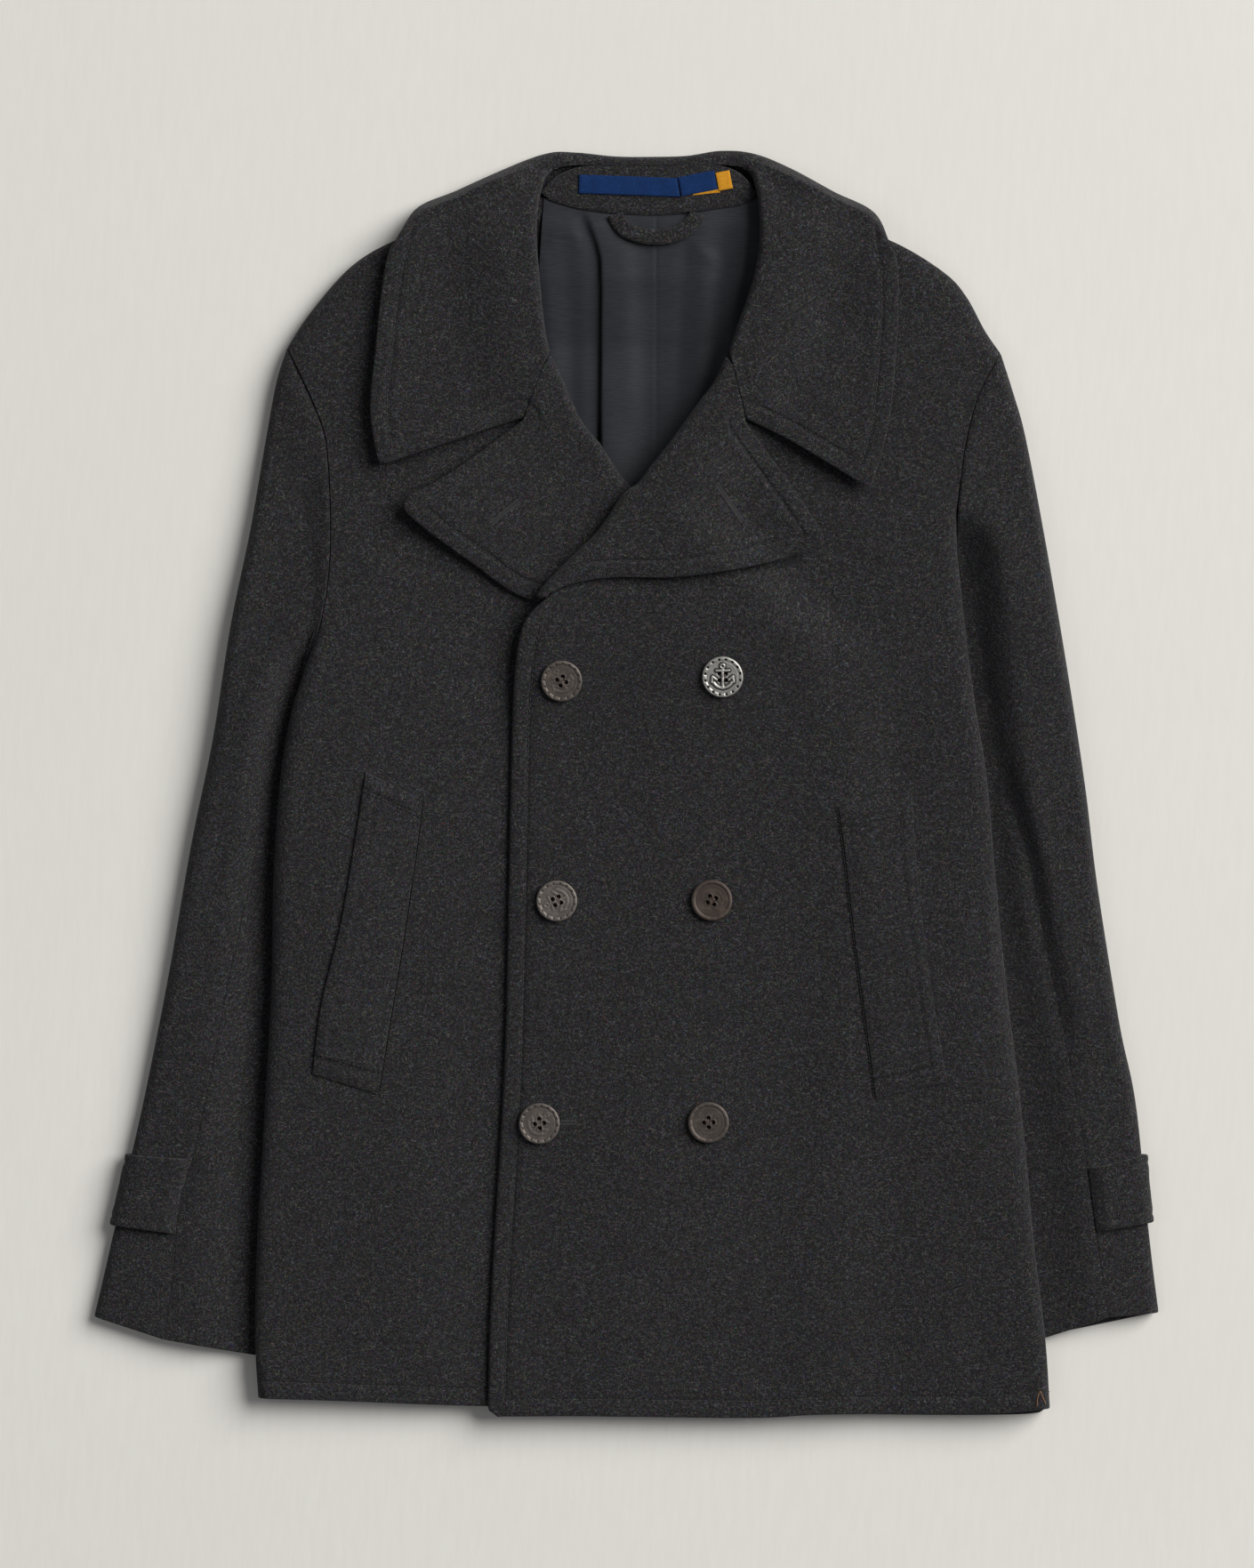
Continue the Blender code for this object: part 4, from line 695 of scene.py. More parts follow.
def floor_finish():
    """Warm white painted board, faintly brushed."""
    nodes = Nodes("pale_floor")
    brushed = nodes.noise(95, (2.2, 0.35, 1), turn=3, detail=5, rough=0.65)
    patches = nodes.noise(3.2, detail=4, rough=0.55, shift=3)
    base = nodes.mix(nodes.band(brushed, 0.3, 0.7), (0.760, 0.745, 0.712), (0.785, 0.772, 0.742))
    nodes.surface(Base_Color=nodes.mix(nodes.band(patches, 0.35, 0.7, 0.4), base, (0.742, 0.727, 0.69)),
                  Roughness=nodes.span(patches, 0.6, 0.75))
    nodes.bump(brushed, 0.0003, 0.3)
    return nodes.material


WOOL = wool()
LINING = lining()
PEWTER = pewter()
THREAD = thread("charcoal_thread", (0.016, 0.016, 0.017), (0.05, 0.049, 0.05))
BUTTON_THREAD = thread("button_thread", (0.12, 0.055, 0.045), (0.26, 0.13, 0.105))
PURL = thread("buttonhole_thread", (0.022, 0.024, 0.028), (0.085, 0.09, 0.10))
LOOSE_THREAD = thread("loose_thread", (0.16, 0.075, 0.035), (0.30, 0.16, 0.085))
# Painted shade: near black for the openings of the buttonholes, the seams of the pocket welts and their end stitches
PAINTED_SHADE = thread("painted_shade_near_black", (0.003, 0.003, 0.003), (0.007, 0.007, 0.007))
LABEL_BLUE = woven("woven_blue", (0.003, 0.018, 0.072), (0.008, 0.036, 0.14), 0)
LABEL_YELLOW = woven("woven_yellow", (0.50, 0.19, 0.010), (0.68, 0.34, 0.028), -9)


# Declaring


def trim(piece, node):
    """The piece stands for its node."""
    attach(piece, "root")
    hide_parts(node)
    return piece


def finished(node, grid, wall=WALL, material=WOOL, slot="wool", reach=0.6):
    """Cloth that stands for its node."""
    piece = trim(cloth(node, grid, wall, material, slot, reach), node)
    return piece


# Body

# Steps round a quarter of a fold: how far in from its edge and how far up, as shares of its radius
FOLD_IN = 1 - np.cos(np.radians(np.linspace(0, 90, 9)))
FOLD_UP = np.sin(np.radians(np.linspace(0, 90, 9)))
PITCH = 4.6  # of the grids of the body and the sleeves
FRONT_COLUMNS = 62  # of a front's grid inside its folds and sewn edges
BACK_COLUMNS = 84
CORNER = 7.0  # radius at the lower corner of a front
FRONT_PRESSED = 1.3  # how much thinner the ironed edge of a front is
FACING = (75, 40)  # from the middle of a facing to where its thickness starts and is full
BREAK = (112, 92)  # Y over which the thick front edge gives way to the lapel


def panel(outer, inner, hem, top, u, v):
    """Plan of a panel between four lines: u runs from outer to inner, v from the hem to the top."""
    u, v = np.broadcast_arrays(u, v)
    across, up = u[..., None], v[..., None]
    ruled = (1 - across) * outer(v) + across * inner(v) + (1 - up) * hem(u) + up * top(u)
    low = (1 - across) * outer(0) + across * inner(0)
    high = (1 - across) * outer(1) + across * inner(1)
    return ruled - (1 - up) * low - up * high


def length_rows(length):
    """Rows up a panel: the share of its length, the distance from the top on the fold over the shoulder, and how much
    of its height each row keeps."""
    low = SEWN / length
    v = np.concatenate([low, stations(low[-1], 0.972, PITCH / length)[1:]])
    drop = SHOULDER_FOLD * FOLD_IN[::-1]
    v_all = np.concatenate([v, 1 - drop / length])
    from_top = np.concatenate([np.full(len(v), np.nan), drop])
    share = np.concatenate([np.ones(len(v)), FOLD_UP[::-1]])
    return v_all[:, None], from_top[:, None], share[:, None]


def side_fold(v, underarm):
    """Up a side: the radius of its fold, and how far it is closed, from 1 up to the underarm to 0 above it."""
    return 14 - 5 * step(underarm, 0, v), step(underarm + 0.07, underarm, v)


def front(name, side, armhole, edge, roll, hem, shoulder, height, edge_x):
    """A front from its side seam to its front edge and roll line, thick where its facing lies at edge_x."""
    outer, underarm = joined(side, armhole)
    inner, _ = joined(edge, roll)
    hem, shoulder = Line(hem), Line(shoulder)
    v, from_top, top_share = length_rows(outer.length)
    radius, closed = side_fold(v, underarm)
    width = gap_between(outer, inner, v[:, 0])
    inside = (width - SEWN[-1] - radius) * stations(0, 1, 1 / FRONT_COLUMNS)[1:]
    distance = np.hstack([radius * FOLD_IN, radius + inside, width - SEWN[::-1][1:]])
    side_share = np.hstack([np.tile(FOLD_UP, (len(v), 1)), np.ones((len(v), inside.shape[1] + len(SEWN) - 1))])
    u = distance / width
    length = (1 - u) * outer.length + u * inner.length
    at_v = np.where(np.isnan(from_top), v, 1 - from_top / length)
    x, y = coordinates(panel(outer, inner, hem, shoulder, u, at_v))
    rise = v * outer.length
    inset = CORNER - np.sqrt(np.clip(CORNER**2 - np.clip(CORNER - rise, 0, None) ** 2, 0, None))
    x = x + np.sign(side[0][0] - edge[0][0]) * inset * np.clip(1 - (width - distance) / 25, 0, 1)
    share = (1 - closed * (1 - side_share)) * top_share
    sewn = edge_relief(np.minimum(hem.distance(x, y), Line(edge).distance(x, y)), depth=0.6)
    top = height(x, y) + sewn
    middle = (back_height(x, y) + body_height(x, y)) / 2 + FOLD_SEAM
    z = middle + (top - middle) * share
    pressed = FRONT_PRESSED * step(20, 3, width - distance) * step(*BREAK, y)
    grid = np.stack([x, y, z - pressed], axis=-1)
    wall = WALL + (EDGE_WALL - WALL) * step(*FACING, abs(x - edge_x)) * step(*BREAK, y) - pressed
    reach = np.full(x.shape, 0.6)
    reach[0], reach[:, -1] = WALL / 2, EDGE_WALL / 2
    if side[0][0] > edge[0][0]:
        grid, wall, reach = turned_over(grid), turned_over(wall), turned_over(reach)
    return finished(name, grid, wall, reach=reach)


def rim_distance(x, y):
    """Distance in from the side edges of the back."""
    return np.minimum(Line(RIGHT_SIDE).distance(x, y), Line(LEFT_SIDE).distance(x, y))


def back():
    """The back, turned round both sides up to the side seams."""
    right, right_underarm = joined(RIGHT_SIDE, RIGHT_ARMHOLE)
    left, left_underarm = joined(LEFT_SIDE, LEFT_ARMHOLE)
    top, _ = joined(RIGHT_SHOULDER, NECK, LEFT_SHOULDER[::-1])
    v, from_top, top_share = length_rows(right.length)
    width = gap_between(right, left, v[:, 0])
    radius_right, closed_right = side_fold(v, right_underarm)
    radius_left, closed_left = side_fold(v, left_underarm)
    inside = radius_right + (width - radius_right - radius_left) * stations(0, 1, 1 / BACK_COLUMNS)[1:]
    distance = np.hstack([radius_right * FOLD_IN, inside, width - (radius_left * FOLD_IN)[:, -2::-1]])
    shares = np.tile(FOLD_UP, (len(v), 1))
    side_share = np.hstack([1 - closed_right * (1 - shares), np.ones(inside.shape),
                            (1 - closed_left * (1 - shares))[:, -2::-1]])
    u = distance / width
    at_v = np.where(np.isnan(from_top), v, 1 - from_top / (right.length + 90 * np.sin(math.pi * u)))
    hem = Line(BACK_HEM)
    x, y = coordinates(panel(right, left, hem, top, u, at_v))
    open_neck = step(96, 78, abs(x - CENTRE_X))
    share = side_share * (top_share + (1 - top_share) * open_neck)
    lying = back_height(x, y)
    uneven = 0.35 * (1 + waves(x, y, 130, 5)) * step(0, 30, rim_distance(x, y))
    under = lying + uneven - edge_relief(hem.distance(x, y))
    middle = (lying + body_height(x, y)) / 2 - FOLD_SEAM
    z = np.maximum(middle - (middle - under) * share, 0)
    grid = turned_over(np.stack([x, y, z], axis=-1))
    reach = np.full(x.shape, 0.6)
    reach[0] = WALL / 2
    return finished("back", grid, reach=turned_over(reach))


# Creases of the lining: points along, half width, height
LINING_FOLDS = [
    ([(-62, 376), (-54, 330), (-50, 240)], 6, 0.5), ([(-44, 380), (-38, 320), (-36, 220)], 6, -0.45),
    ([(-2, 380), (-1, 330), (4, 230)], 8, 0.4), ([(42, 384), (38, 330), (34, 240)], 6, -0.5),
    ([(52, 384), (50, 330), (44, 240)], 7, 0.55), ([(66, 386), (62, 330), (56, 250)], 6, -0.5),
    ([(78, 384), (74, 330), (68, 280)], 5, 0.5), ([(-54, 366), (-44, 371), (-30, 368)], 4, 0.5),
    ([(38, 372), (52, 356), (66, 350)], 5, 0.5),
]
# Edge of the lining's pleat from the neck down: x, y
PLEAT = [(-30.9, 384.6), (-25.8, 376.8), (-20.9, 364), (-18.4, 354), (-17.7, 334), (-18.3, 228.6), (-19, 100)]
LINING_SEAM_X = 19.8  # of its centre seam
LINING_TOP = 391
LINING_BOTTOM = 98.0


def back_lining(loop):
    """Lining where it shows in the neck opening, and a margin under the lapels, with its pleat and centre seam, and
    painted shade along the pleat.
    """
    neck = Line(NECK)
    levels = stations(LINING_BOTTOM, LINING_TOP, 3.0)
    level, across = np.meshgrid(levels, np.linspace(0.09, 0.965, 140), indexing="ij")
    top = neck(across)
    share = (level - LINING_BOTTOM) / (LINING_TOP - LINING_BOTTOM)
    x = top[..., 0] + (top[..., 0] - CENTRE_X) * 0.3 * (1 - share)
    y = level + (top[..., 1] - SEAM - LINING_TOP) * step(340, LINING_TOP, level)
    pleat = x - np.interp(y, [p[1] for p in PLEAT[::-1]], [p[0] for p in PLEAT[::-1]])
    beside = -0.5 * step(-14, -1.4, pleat) * step(1.2, -1.2, pleat)
    folded = beside + 2.0 * step(34, 1.4, pleat) * step(-1.2, 1.2, pleat)
    # Painted shade along the pleat: a dark line at its edge and a fainter band beside it on the left, for the lining's
    # colour
    shade = hump(pleat + 0.3, 1.5) * step(384, 352, y)
    shade = shade + 0.35 * step(-9, -1, pleat) * step(0.5, -0.5, pleat) * step(380, 340, y)
    seam = -0.22 * hump(x - LINING_SEAM_X, 0.9) * step(60, 300, y)
    puckers = 0.3 * waves(x, y, 52, 21) + folds(x, y, LINING_FOLDS)
    tucked = -1.5 * step(376, 386, y)
    z = back_height(x, y) + WALL + LINING_LIFT + (folded + seam + puckers) * step(386, 376, y) + tucked
    grid = np.stack([x, y, z], axis=-1)
    piece = finished("back_lining", grid, LINING_WALL, material=LINING, slot="lining",
                     reach=0.4)
    # The painted shade goes on the lining's outer side as the painted_pleat_shade attribute
    depth = np.zeros(len(piece.data.vertices))
    depth[:shade.size] = shade.ravel()
    painted(piece, "painted_pleat_shade", depth)


# Collar and lapels

LIP_STEPS = 12
LAPEL_COLUMNS = 92
LAST_COLUMN = 2.8  # from a lapel's edge to its last column but one
LAPEL_BLEND = 30  # over which its upper end comes down on the front
COLLAR_STEPS = (34, 15, 18)  # columns on its upper side, round its fold and behind it
COLLAR_EDGE = 3.0  # from the collar's edge to its last column but one
COLLAR_BLEND = 30  # over which it comes down on the front from its roll
TIP_RADIUS = 6.5  # how far along each side the corners of collar and lapels are rounded
NOTCH_REACH = 18  # over which the sewn edges fade out at the notch
# Swells of the lapels and the collar: points along, half width, height
LAPEL_SWELLS = {
    "lapel_right": [([(10, 165), (-60, 165), (-120, 185)], 14, 1.0), ([(-20, 235), (-70, 200), (-110, 170)], 12, -1.0)],
    "lapel_left": [([(-20, 160), (40, 165), (90, 170)], 14, -1.0), ([(30, 225), (60, 195), (100, 175)], 12, 1.2)],
}
COLLAR_SWELLS = [
    ([(-75, 300), (-110, 270), (-150, 235)], 14, 1.3), ([(-80, 345), (-120, 330), (-160, 300)], 13, -1.3),
    ([(-75, 375), (-110, 365), (-150, 340)], 10, 1.2), ([(100, 300), (130, 260), (155, 225)], 15, 1.4),
    ([(105, 345), (140, 320), (172, 290)], 13, -1.3), ([(100, 375), (135, 368), (165, 345)], 10, 1.1),
]
LAPEL_ROLLS = {"lapel_right": 26, "lapel_left": 13}  # how far out from its fold a lapel comes down on the front


def roll_lip(start, outward, top, turn, steps):
    """Points of the turned edge of a collar or lapel, from inside its fold up to its top: reach and height."""
    turned = np.radians(turn)
    tail = LIP_END + (LIP - LIP_END) * step(90, 180, turn)
    length = ROLL_RADIUS * turned + tail
    run = length * np.linspace(1, 0, steps, endpoint=False)
    angle = np.minimum(run / ROLL_RADIUS, turned)
    past = run - ROLL_RADIUS * angle
    reach = ROLL_RADIUS * (1 - np.sin(angle)) - past * np.cos(angle)
    z = top - ROLL_RADIUS * (1 - np.cos(angle)) - past * np.sin(angle)
    plan = start[:, None] + outward[:, None] * reach[..., None]
    return np.concatenate([plan, z[..., None]], axis=-1)


def fine_rows(table, columns, pitch, corners):
    """Row numbers of a table, so close that its lines through the given pairs of columns run about pitch apart."""
    numbers = [np.array([0.0])]
    for k in range(len(table) - 1):
        a, b = section(table, np.array([k, k + 1.0]), corners)
        run = max(np.hypot(*(b - a)[list(pair)]) for pair in columns)
        numbers.append(k + np.linspace(0, 1, max(2, round(run / pitch) + 1))[1:])
    return np.concatenate(numbers)


class Border(Line):
    """A line straight from point to point, such as the finished edge of a piece with its sharp corners."""

    def __init__(self, points):
        self.points = np.array(points, float)
        self.measure()


def rounded(points, corner):
    """A line of points with the corner at one of them rounded off."""
    along = Border(points).along
    at = along - along[corner]
    near = abs(at) < TIP_RADIUS
    start, end = [np.array([np.interp(along[corner] + way * TIP_RADIUS, along, points[:, i]) for i in (0, 1)])
                  for way in (-1, 1)]
    u = ((at + TIP_RADIUS) / (2 * TIP_RADIUS))[:, None]
    curve = (1 - u) ** 2 * start + 2 * u * (1 - u) * points[corner] + u**2 * end
    return np.where(near[:, None], curve, points)


def pressed_thin(inward):
    """How much thinner an ironed double edge is at a distance in from it."""
    return EDGE_PRESSED * step(15, 2, inward)


def lapel(name, table, corners, height, crest_column):
    """A lapel from the turned edge at its roll line out to its finished edge, coming down on the front."""
    s = fine_rows(table, ((0, 1), (2, 3)), 1.6, corners)
    roll_x, roll_y, edge_x, edge_y, lift = section(table, s, corners).T
    roll, edge = np.stack([roll_x, roll_y], -1), np.stack([edge_x, edge_y], -1)
    edge = rounded(edge, int(abs(s - corners[0]).argmin()))
    reach = np.linalg.norm(edge - roll, axis=1)
    outward = (edge - roll) / reach[:, None]
    top = through(ROLL_HEIGHTS, crest_column, roll_y)[:, None]
    reach = np.maximum(reach, ROLL_RADIUS + 2)[:, None]
    lip = roll_lip(roll, outward, top, np.full((len(s), 1), 180.0), LIP_STEPS)
    flat = reach - ROLL_RADIUS
    part = np.linspace(0, 1, LAPEL_COLUMNS)
    part = np.append(part[:-1] * (1 - LAST_COLUMN / np.maximum(flat, 8)), np.ones((len(s), 1)), axis=1)
    distance = ROLL_RADIUS + flat * part
    x, y = coordinates(roll[:, None] + outward[:, None] * distance[..., None])
    border = Border(edge[s <= corners[1]])
    rest = height(x, y) + REST + DOUBLE + lift[:, None] * part**1.5
    soft = LAPEL_ROLLS[name]
    blend = ROLL_RADIUS + soft + (LAPEL_BLEND - soft) * step(corners[1] - 1.5, corners[1] + 0.6, s)[:, None]
    z = top + (rest - top) * step(ROLL_RADIUS, blend, distance)
    notch = np.hypot(x - border.points[-1][0], y - border.points[-1][1])
    inward = border.distance(x, y)
    sewn = edge_relief(inward, depth=0.8) * step(0, NOTCH_REACH, notch)
    pressed = pressed_thin(inward) * step(0, NOTCH_REACH, notch) * step(6, 14, distance)
    z = z + (sewn + folds(x, y, LAPEL_SWELLS[name])) * step(6, 14, distance) - pressed
    grid = np.concatenate([lip, np.stack([x, y, z], -1)], axis=1)
    wall = np.concatenate([np.full(lip.shape[:2], DOUBLE), DOUBLE - pressed], axis=1)
    edges = np.full(grid.shape[:2], 0.3)
    edges[:, -1] = np.where(s < corners[1], DOUBLE / 2, 0.25)
    if roll[-1, 0] > edge[-1, 0]:
        grid, edges, wall = turned_over(grid), turned_over(edges), turned_over(wall)
    return finished(name, grid, wall, reach=np.minimum(edges, wall / 2)), border


def collar():
    """The collar, lying on the fronts at its sides and folded under behind the neck."""
    s = fine_rows(COLLAR, ((0, 1), (4, 5)), 2.0, COLLAR_CORNERS)
    table = section(COLLAR, s, COLLAR_CORNERS)
    roll, aim = table[:, :2], table[:, 4:6]
    for corner in COLLAR_CORNERS:
        aim = rounded(aim, int(abs(s - corner).argmin()))
    top, turn = table[:, 2:3], np.clip(table[:, 3:4], 0, 180)
    fold, behind = np.clip(table[:, 6:7], 0, 1), np.maximum(table[:, 7:8], 0)
    reach = np.linalg.norm(aim - roll, axis=1)[:, None]
    outward = (aim - roll) / reach
    back_way = unit(np.stack([(CENTRE_X - aim[:, 0]) * 0.004, -np.ones(len(s))], -1))
    fold_reach = np.minimum(COLLAR_FOLD * np.minimum(fold * 2, 1), (reach - ROLL_RADIUS) * 0.9)
    flat = reach - ROLL_RADIUS - fold_reach
    border = Border(aim)
    from_gorge = (0.08 + 0.92 * step(0, 1.15, np.minimum(s, len(COLLAR) - 1 - s)))[:, None]

    def on_top(distance):
        """Places on the upper side at a distance out from the roll."""
        x, y = coordinates(roll[:, None] + outward[:, None] * (ROLL_RADIUS + distance)[..., None])
        lift = COLLAR_LIFT * np.clip(distance / (reach - ROLL_RADIUS), 0, 1) ** 1.5 * (1 - fold) * from_gorge
        height = np.where(x < CENTRE_X, right_front_height(x, y), left_front_height(x, y))
        rest = height + REST + DOUBLE + lift
        return x, y, top + (rest - top) * step(0, COLLAR_BLEND, distance)

    edge_x, edge_y, edge_z = on_top(flat)
    rise = edge_z / 2
    arc = fold * math.pi * (fold_reach + rise) / 2
    total = flat + arc + behind
    turning = np.unique(np.concatenate([np.linspace(k, k + 1, steps) for k, steps in enumerate(COLLAR_STEPS)]))
    even = np.append((total - COLLAR_EDGE) * np.linspace(0, 1, len(turning) - 1), total, axis=1)
    turned = flat * np.minimum(turning, 1) + arc * np.clip(turning - 1, 0, 1) + behind * np.clip(turning - 2, 0, 1)
    distance = even + (turned - even) * fold
    x, y, z = on_top(np.minimum(distance, flat))
    sewn = np.minimum(border.distance(x, y) + 1000 * fold, total - distance)
    notch = np.min([np.hypot(x - end[0], y - end[1]) for end in (aim[0], aim[-1])], axis=0)
    relief = edge_relief(sewn, depth=0.8) * step(0, NOTCH_REACH, notch) + folds(x, y, COLLAR_SWELLS) * step(2, 14, sewn)
    pressed = pressed_thin(sewn) * step(0, NOTCH_REACH, notch) * step(4, 14, distance) * (fold < 1e-3)
    z = z + relief * step(4, 14, distance) - pressed
    angle = np.clip(math.pi * fold * (distance - flat) / np.maximum(arc, 1e-6), 0, math.pi * fold)
    over = distance > flat + 1e-6
    side = fold_reach * np.sin(angle)
    way = (outward[:, None] * (1 + np.cos(angle))[..., None] - back_way[:, None] * (1 - np.cos(angle))[..., None]) / 2
    past = np.maximum(distance - flat - arc - 1e-6, 0)
    left = 1 - past / np.maximum(behind, 1)
    edge = np.stack([edge_x, edge_y], -1)
    turned_plan = edge + way * (side * left)[..., None] + back_way[:, None] * past[..., None]
    turned_z = rise * (1 + np.cos(angle)) * left
    body = np.stack([np.where(over, turned_plan[..., 0], x), np.where(over, turned_plan[..., 1], y),
                     np.where(over, turned_z, z)], -1)
    lip = roll_lip(roll, outward, top, turn, LIP_STEPS)
    grid = turned_over(np.concatenate([lip, body], axis=1))
    grid[..., 2] = np.maximum(grid[..., 2], 0)
    edges = np.full(grid.shape[:2], 0.3)
    edges[:, 0] = DOUBLE / 2
    edges[0] = edges[-1] = 0.2
    wall = turned_over(np.concatenate([np.full(lip.shape[:2], DOUBLE), DOUBLE - pressed], axis=1))
    reach = np.minimum(edges, wall / 2)
    return finished("collar", grid, wall, reach=reach), border


def collar_stand(labels):
    """The stand inside the back neck, bent down at both of its long edges."""
    s = np.linspace(0, len(STAND) - 1, 70)
    low_x, low_y, high_x, high_y = section(STAND, s).T[..., None]
    length = np.hypot(high_x - low_x, high_y - low_y)
    down = np.concatenate([[-3.0, -2.2, -1.2], np.zeros(11), [0.9, 1.1, 2.0]])
    t = np.concatenate([[0] * 3, np.linspace(0, 1, 11), [1] * 3]) + down / np.maximum(length, 8)
    x, y = low_x + (high_x - low_x) * t, low_y + (high_y - low_y) * t
    drop = np.concatenate([[1.5, 0.8, 0.25], np.zeros(11), [0.1, 1.6, 4.2]])
    grid = turned_over(np.stack([x, y, STAND_TOP - drop + 0.2 * waves(x, y, 30, 31)], -1))
    wall = np.concatenate([[0.8, 1.3, 1.8], np.full(11, 2.0), [1.6, 1.3, 1.0]])
    finished("collar_stand", grid, wall[::-1], reach=0.5)


# Sleeves

ARMHOLE_SEAM = 0.2  # between sleeve and body
SLEEVE_SEAM = 0.03  # between top sleeve and under sleeve, on each side
BESIDE_SEAM = 0.35  # from a seam to the next column
SEAM_GROOVE = 0.3  # depth of the groove at the back seam
HEAD_GROOVE = 1.2  # and of the one at the armhole
SLEEVE_FALL = 4.2  # how much lower a sleeve is at its outer side


def round_share(distance, radius):
    """How far a round fold has risen at a distance in from its edge, 0 to 1."""
    return np.sqrt(1 - (1 - np.clip(distance / radius, 0, 1)) ** 2)


def slanted(points, slant):
    """A line read somewhat later along its length, but for its ends."""
    line = Line(points)
    return lambda v: line(v - slant * v * (1 - v))


class Sleeve:
    """A two-piece sleeve, with v from 0 at the armhole to 1 at the cuff. Its plan has four lines: the outer fold, the
    back seam, the line where it comes out from under the body, and the hidden inner fold."""

    def __init__(self, side, outer, seam, emerging, hidden, underside, armhole, outward):
        slant = SLANTS[side]
        self.outer, self.shown_from = Line(outer), Line(emerging)
        self.seam, self.emerging = slanted(seam, slant), slanted(emerging, slant)
        self.hidden, self.underside = slanted(hidden, slant), slanted(underside, UNDERSIDE_SLANT)
        self.armhole = Line([(x + outward * ARMHOLE_SEAM, y) for x, y in reversed(armhole)])
        self.heights = RIGHT_SLEEVE_HEIGHTS if side == "right" else LEFT_SLEEVE_HEIGHTS
        self.hidden_start = HIDDEN_START[side]
        self.tab = TABS[side]
        self.side = side
        self.outward = outward
        self.v = stations(0, 1, PITCH / self.outer.length)

    def plan(self, first, second, t, v, armhole_first, armhole_second):
        """Between two lines at t, following the armhole at the sleeve's head."""
        a, b = first(v)[:, None], second(v)[:, None]
        a0, b0 = first(0), second(0)
        across = t[..., None]
        round_head = self.armhole(armhole_first + (armhole_second - armhole_first) * t) - (a0 + (b0 - a0) * across)
        return coordinates(a + (b - a) * across + round_head * ((1 - v) ** 3)[:, None, None])

    def lift(self, v, from_edge):
        """The underside is lifted where the tab passes under the outer fold."""
        top, bottom, _ = self.tab
        down_sleeve = TAB_LIFT * step(top - 0.06, top - 0.01, v) * step(bottom + 0.06, bottom + 0.01, v)
        return down_sleeve * step(75, 55, from_edge)

    def height_on_top(self, x, y, v, from_seam):
        """Top of the sleeve, with the valley at its back seam, its creases and its fall to where the body covers it."""
        full = body_height(x, y)
        crest = full + (through(self.heights, 1, v) - full) * step(0, 0.12, v)
        crest = crest - 0.8 * through(self.heights, 2, v) * hump(from_seam, 9)
        crest = crest - SEAM_GROOVE * hump(from_seam, 1.6)
        crest = crest - HEAD_GROOVE * hump(v * self.outer.length, 4)
        crest = crest + (folds(x, y, SLEEVE_FOLDS[self.side]) + 0.5 * waves(x, y, 90, 12)) * step(0, 0.05, v)
        inwards = self.shown_from.distance(x, y)
        crest = crest - SLEEVE_FALL * ramp(32, 115, inwards) * step(0, 0.1, v)
        valley = 29 + 13 * step(0.35, 0.75, v)
        return SLEEVE_UNDER + (crest - SLEEVE_UNDER) * step(0, valley, inwards)

    def topsleeve(self, v):
        """From the back seam over the top to the outer fold, and round it to the middle of the underside."""
        column = v[:, None]
        width = gap_between(self.outer, self.seam, v)
        radius = 10 - 3 * column
        inside = radius + (width - radius) * (1 - (1 - np.linspace(0, 1, 22)) ** 1.25)
        distance = np.hstack([radius * FOLD_IN, inside[:, 1:]])[:, ::-1]
        x, y = self.plan(self.outer, self.seam, distance / width, v, 0, SEAM_START)
        top = self.height_on_top(x, y, column, width - distance)
        middle = (top + self.lift(column, distance)) / 2
        upper = np.stack([x, y, middle + (top - middle) * round_share(distance, radius)], -1)
        edge_z = upper[:, -1:, 2]
        width = gap_between(self.outer, self.underside, v)
        distance = np.hstack([radius * FOLD_IN[1:], radius + (width - radius) * np.linspace(0, 1, 16)[1:]])
        x, y = self.plan(self.outer, self.underside, distance / width, v, 0, UNDERSIDE_START)
        fallen = (edge_z - self.lift(column, distance)) * round_share(distance, radius)
        lower = np.stack([x, y, edge_z - fallen], -1)
        return np.concatenate([upper, lower], axis=1)

    def undersleeve(self, v):
        """From the seam down under the body and round the hidden fold to the middle of the underside."""
        share = np.tile(np.linspace(0, 1, 11) ** 1.2, (len(v), 1))
        x, y = self.plan(self.seam, self.emerging, share, v, SEAM_START, 1)
        z = self.height_on_top(x, y, v[:, None], gap_between(self.seam, self.emerging, v) * share)
        z[:, -1] = SLEEVE_UNDER
        shown = np.stack([x, y, z], -1)
        radius = SLEEVE_UNDER / 2
        way = self.hidden(v) - self.emerging(v)
        tucked = np.linalg.norm(way, axis=1)[:, None]
        turn = np.radians(np.linspace(0, 180, 10))[1:]
        flat = (tucked - radius) * np.linspace(0, 1, 9)[1:]
        bend = tucked - radius + radius * np.sin(turn)
        distance = np.hstack([flat, bend])
        plan = self.emerging(v)[:, None] + way[:, None] * (distance / tucked)[..., None]
        z = np.hstack([np.full(flat.shape, SLEEVE_UNDER), np.tile(radius * (1 + np.cos(turn)), (len(v), 1))])
        tucked_in = np.concatenate([plan, z[..., None]], -1)
        behind = radius / gap_between(self.hidden, self.underside, v)
        share = behind + (1 - behind) * np.linspace(0, 1, 9)[1:]
        x, y = self.plan(self.hidden, self.underside, share, v, self.hidden_start, UNDERSIDE_START)
        under = np.stack([x, y, np.zeros(x.shape)], -1)
        return np.concatenate([shown, tucked_in, under], axis=1)


def parted(grid, distance):
    """The ends of each row moved in, so that the piece ends short of its seams, and one more point close to each."""
    grid = grid.copy()
    close = []
    for end, beside in ((0, 1), (-1, -2)):
        way = unit(grid[:, beside] - grid[:, end])
        grid[:, end] += way * distance
        close.append((grid[:, end] + way * BESIDE_SEAM)[:, None])
    return np.concatenate([grid[:, :1], close[0], grid[:, 1:-1], close[1], grid[:, -1:]], axis=1)


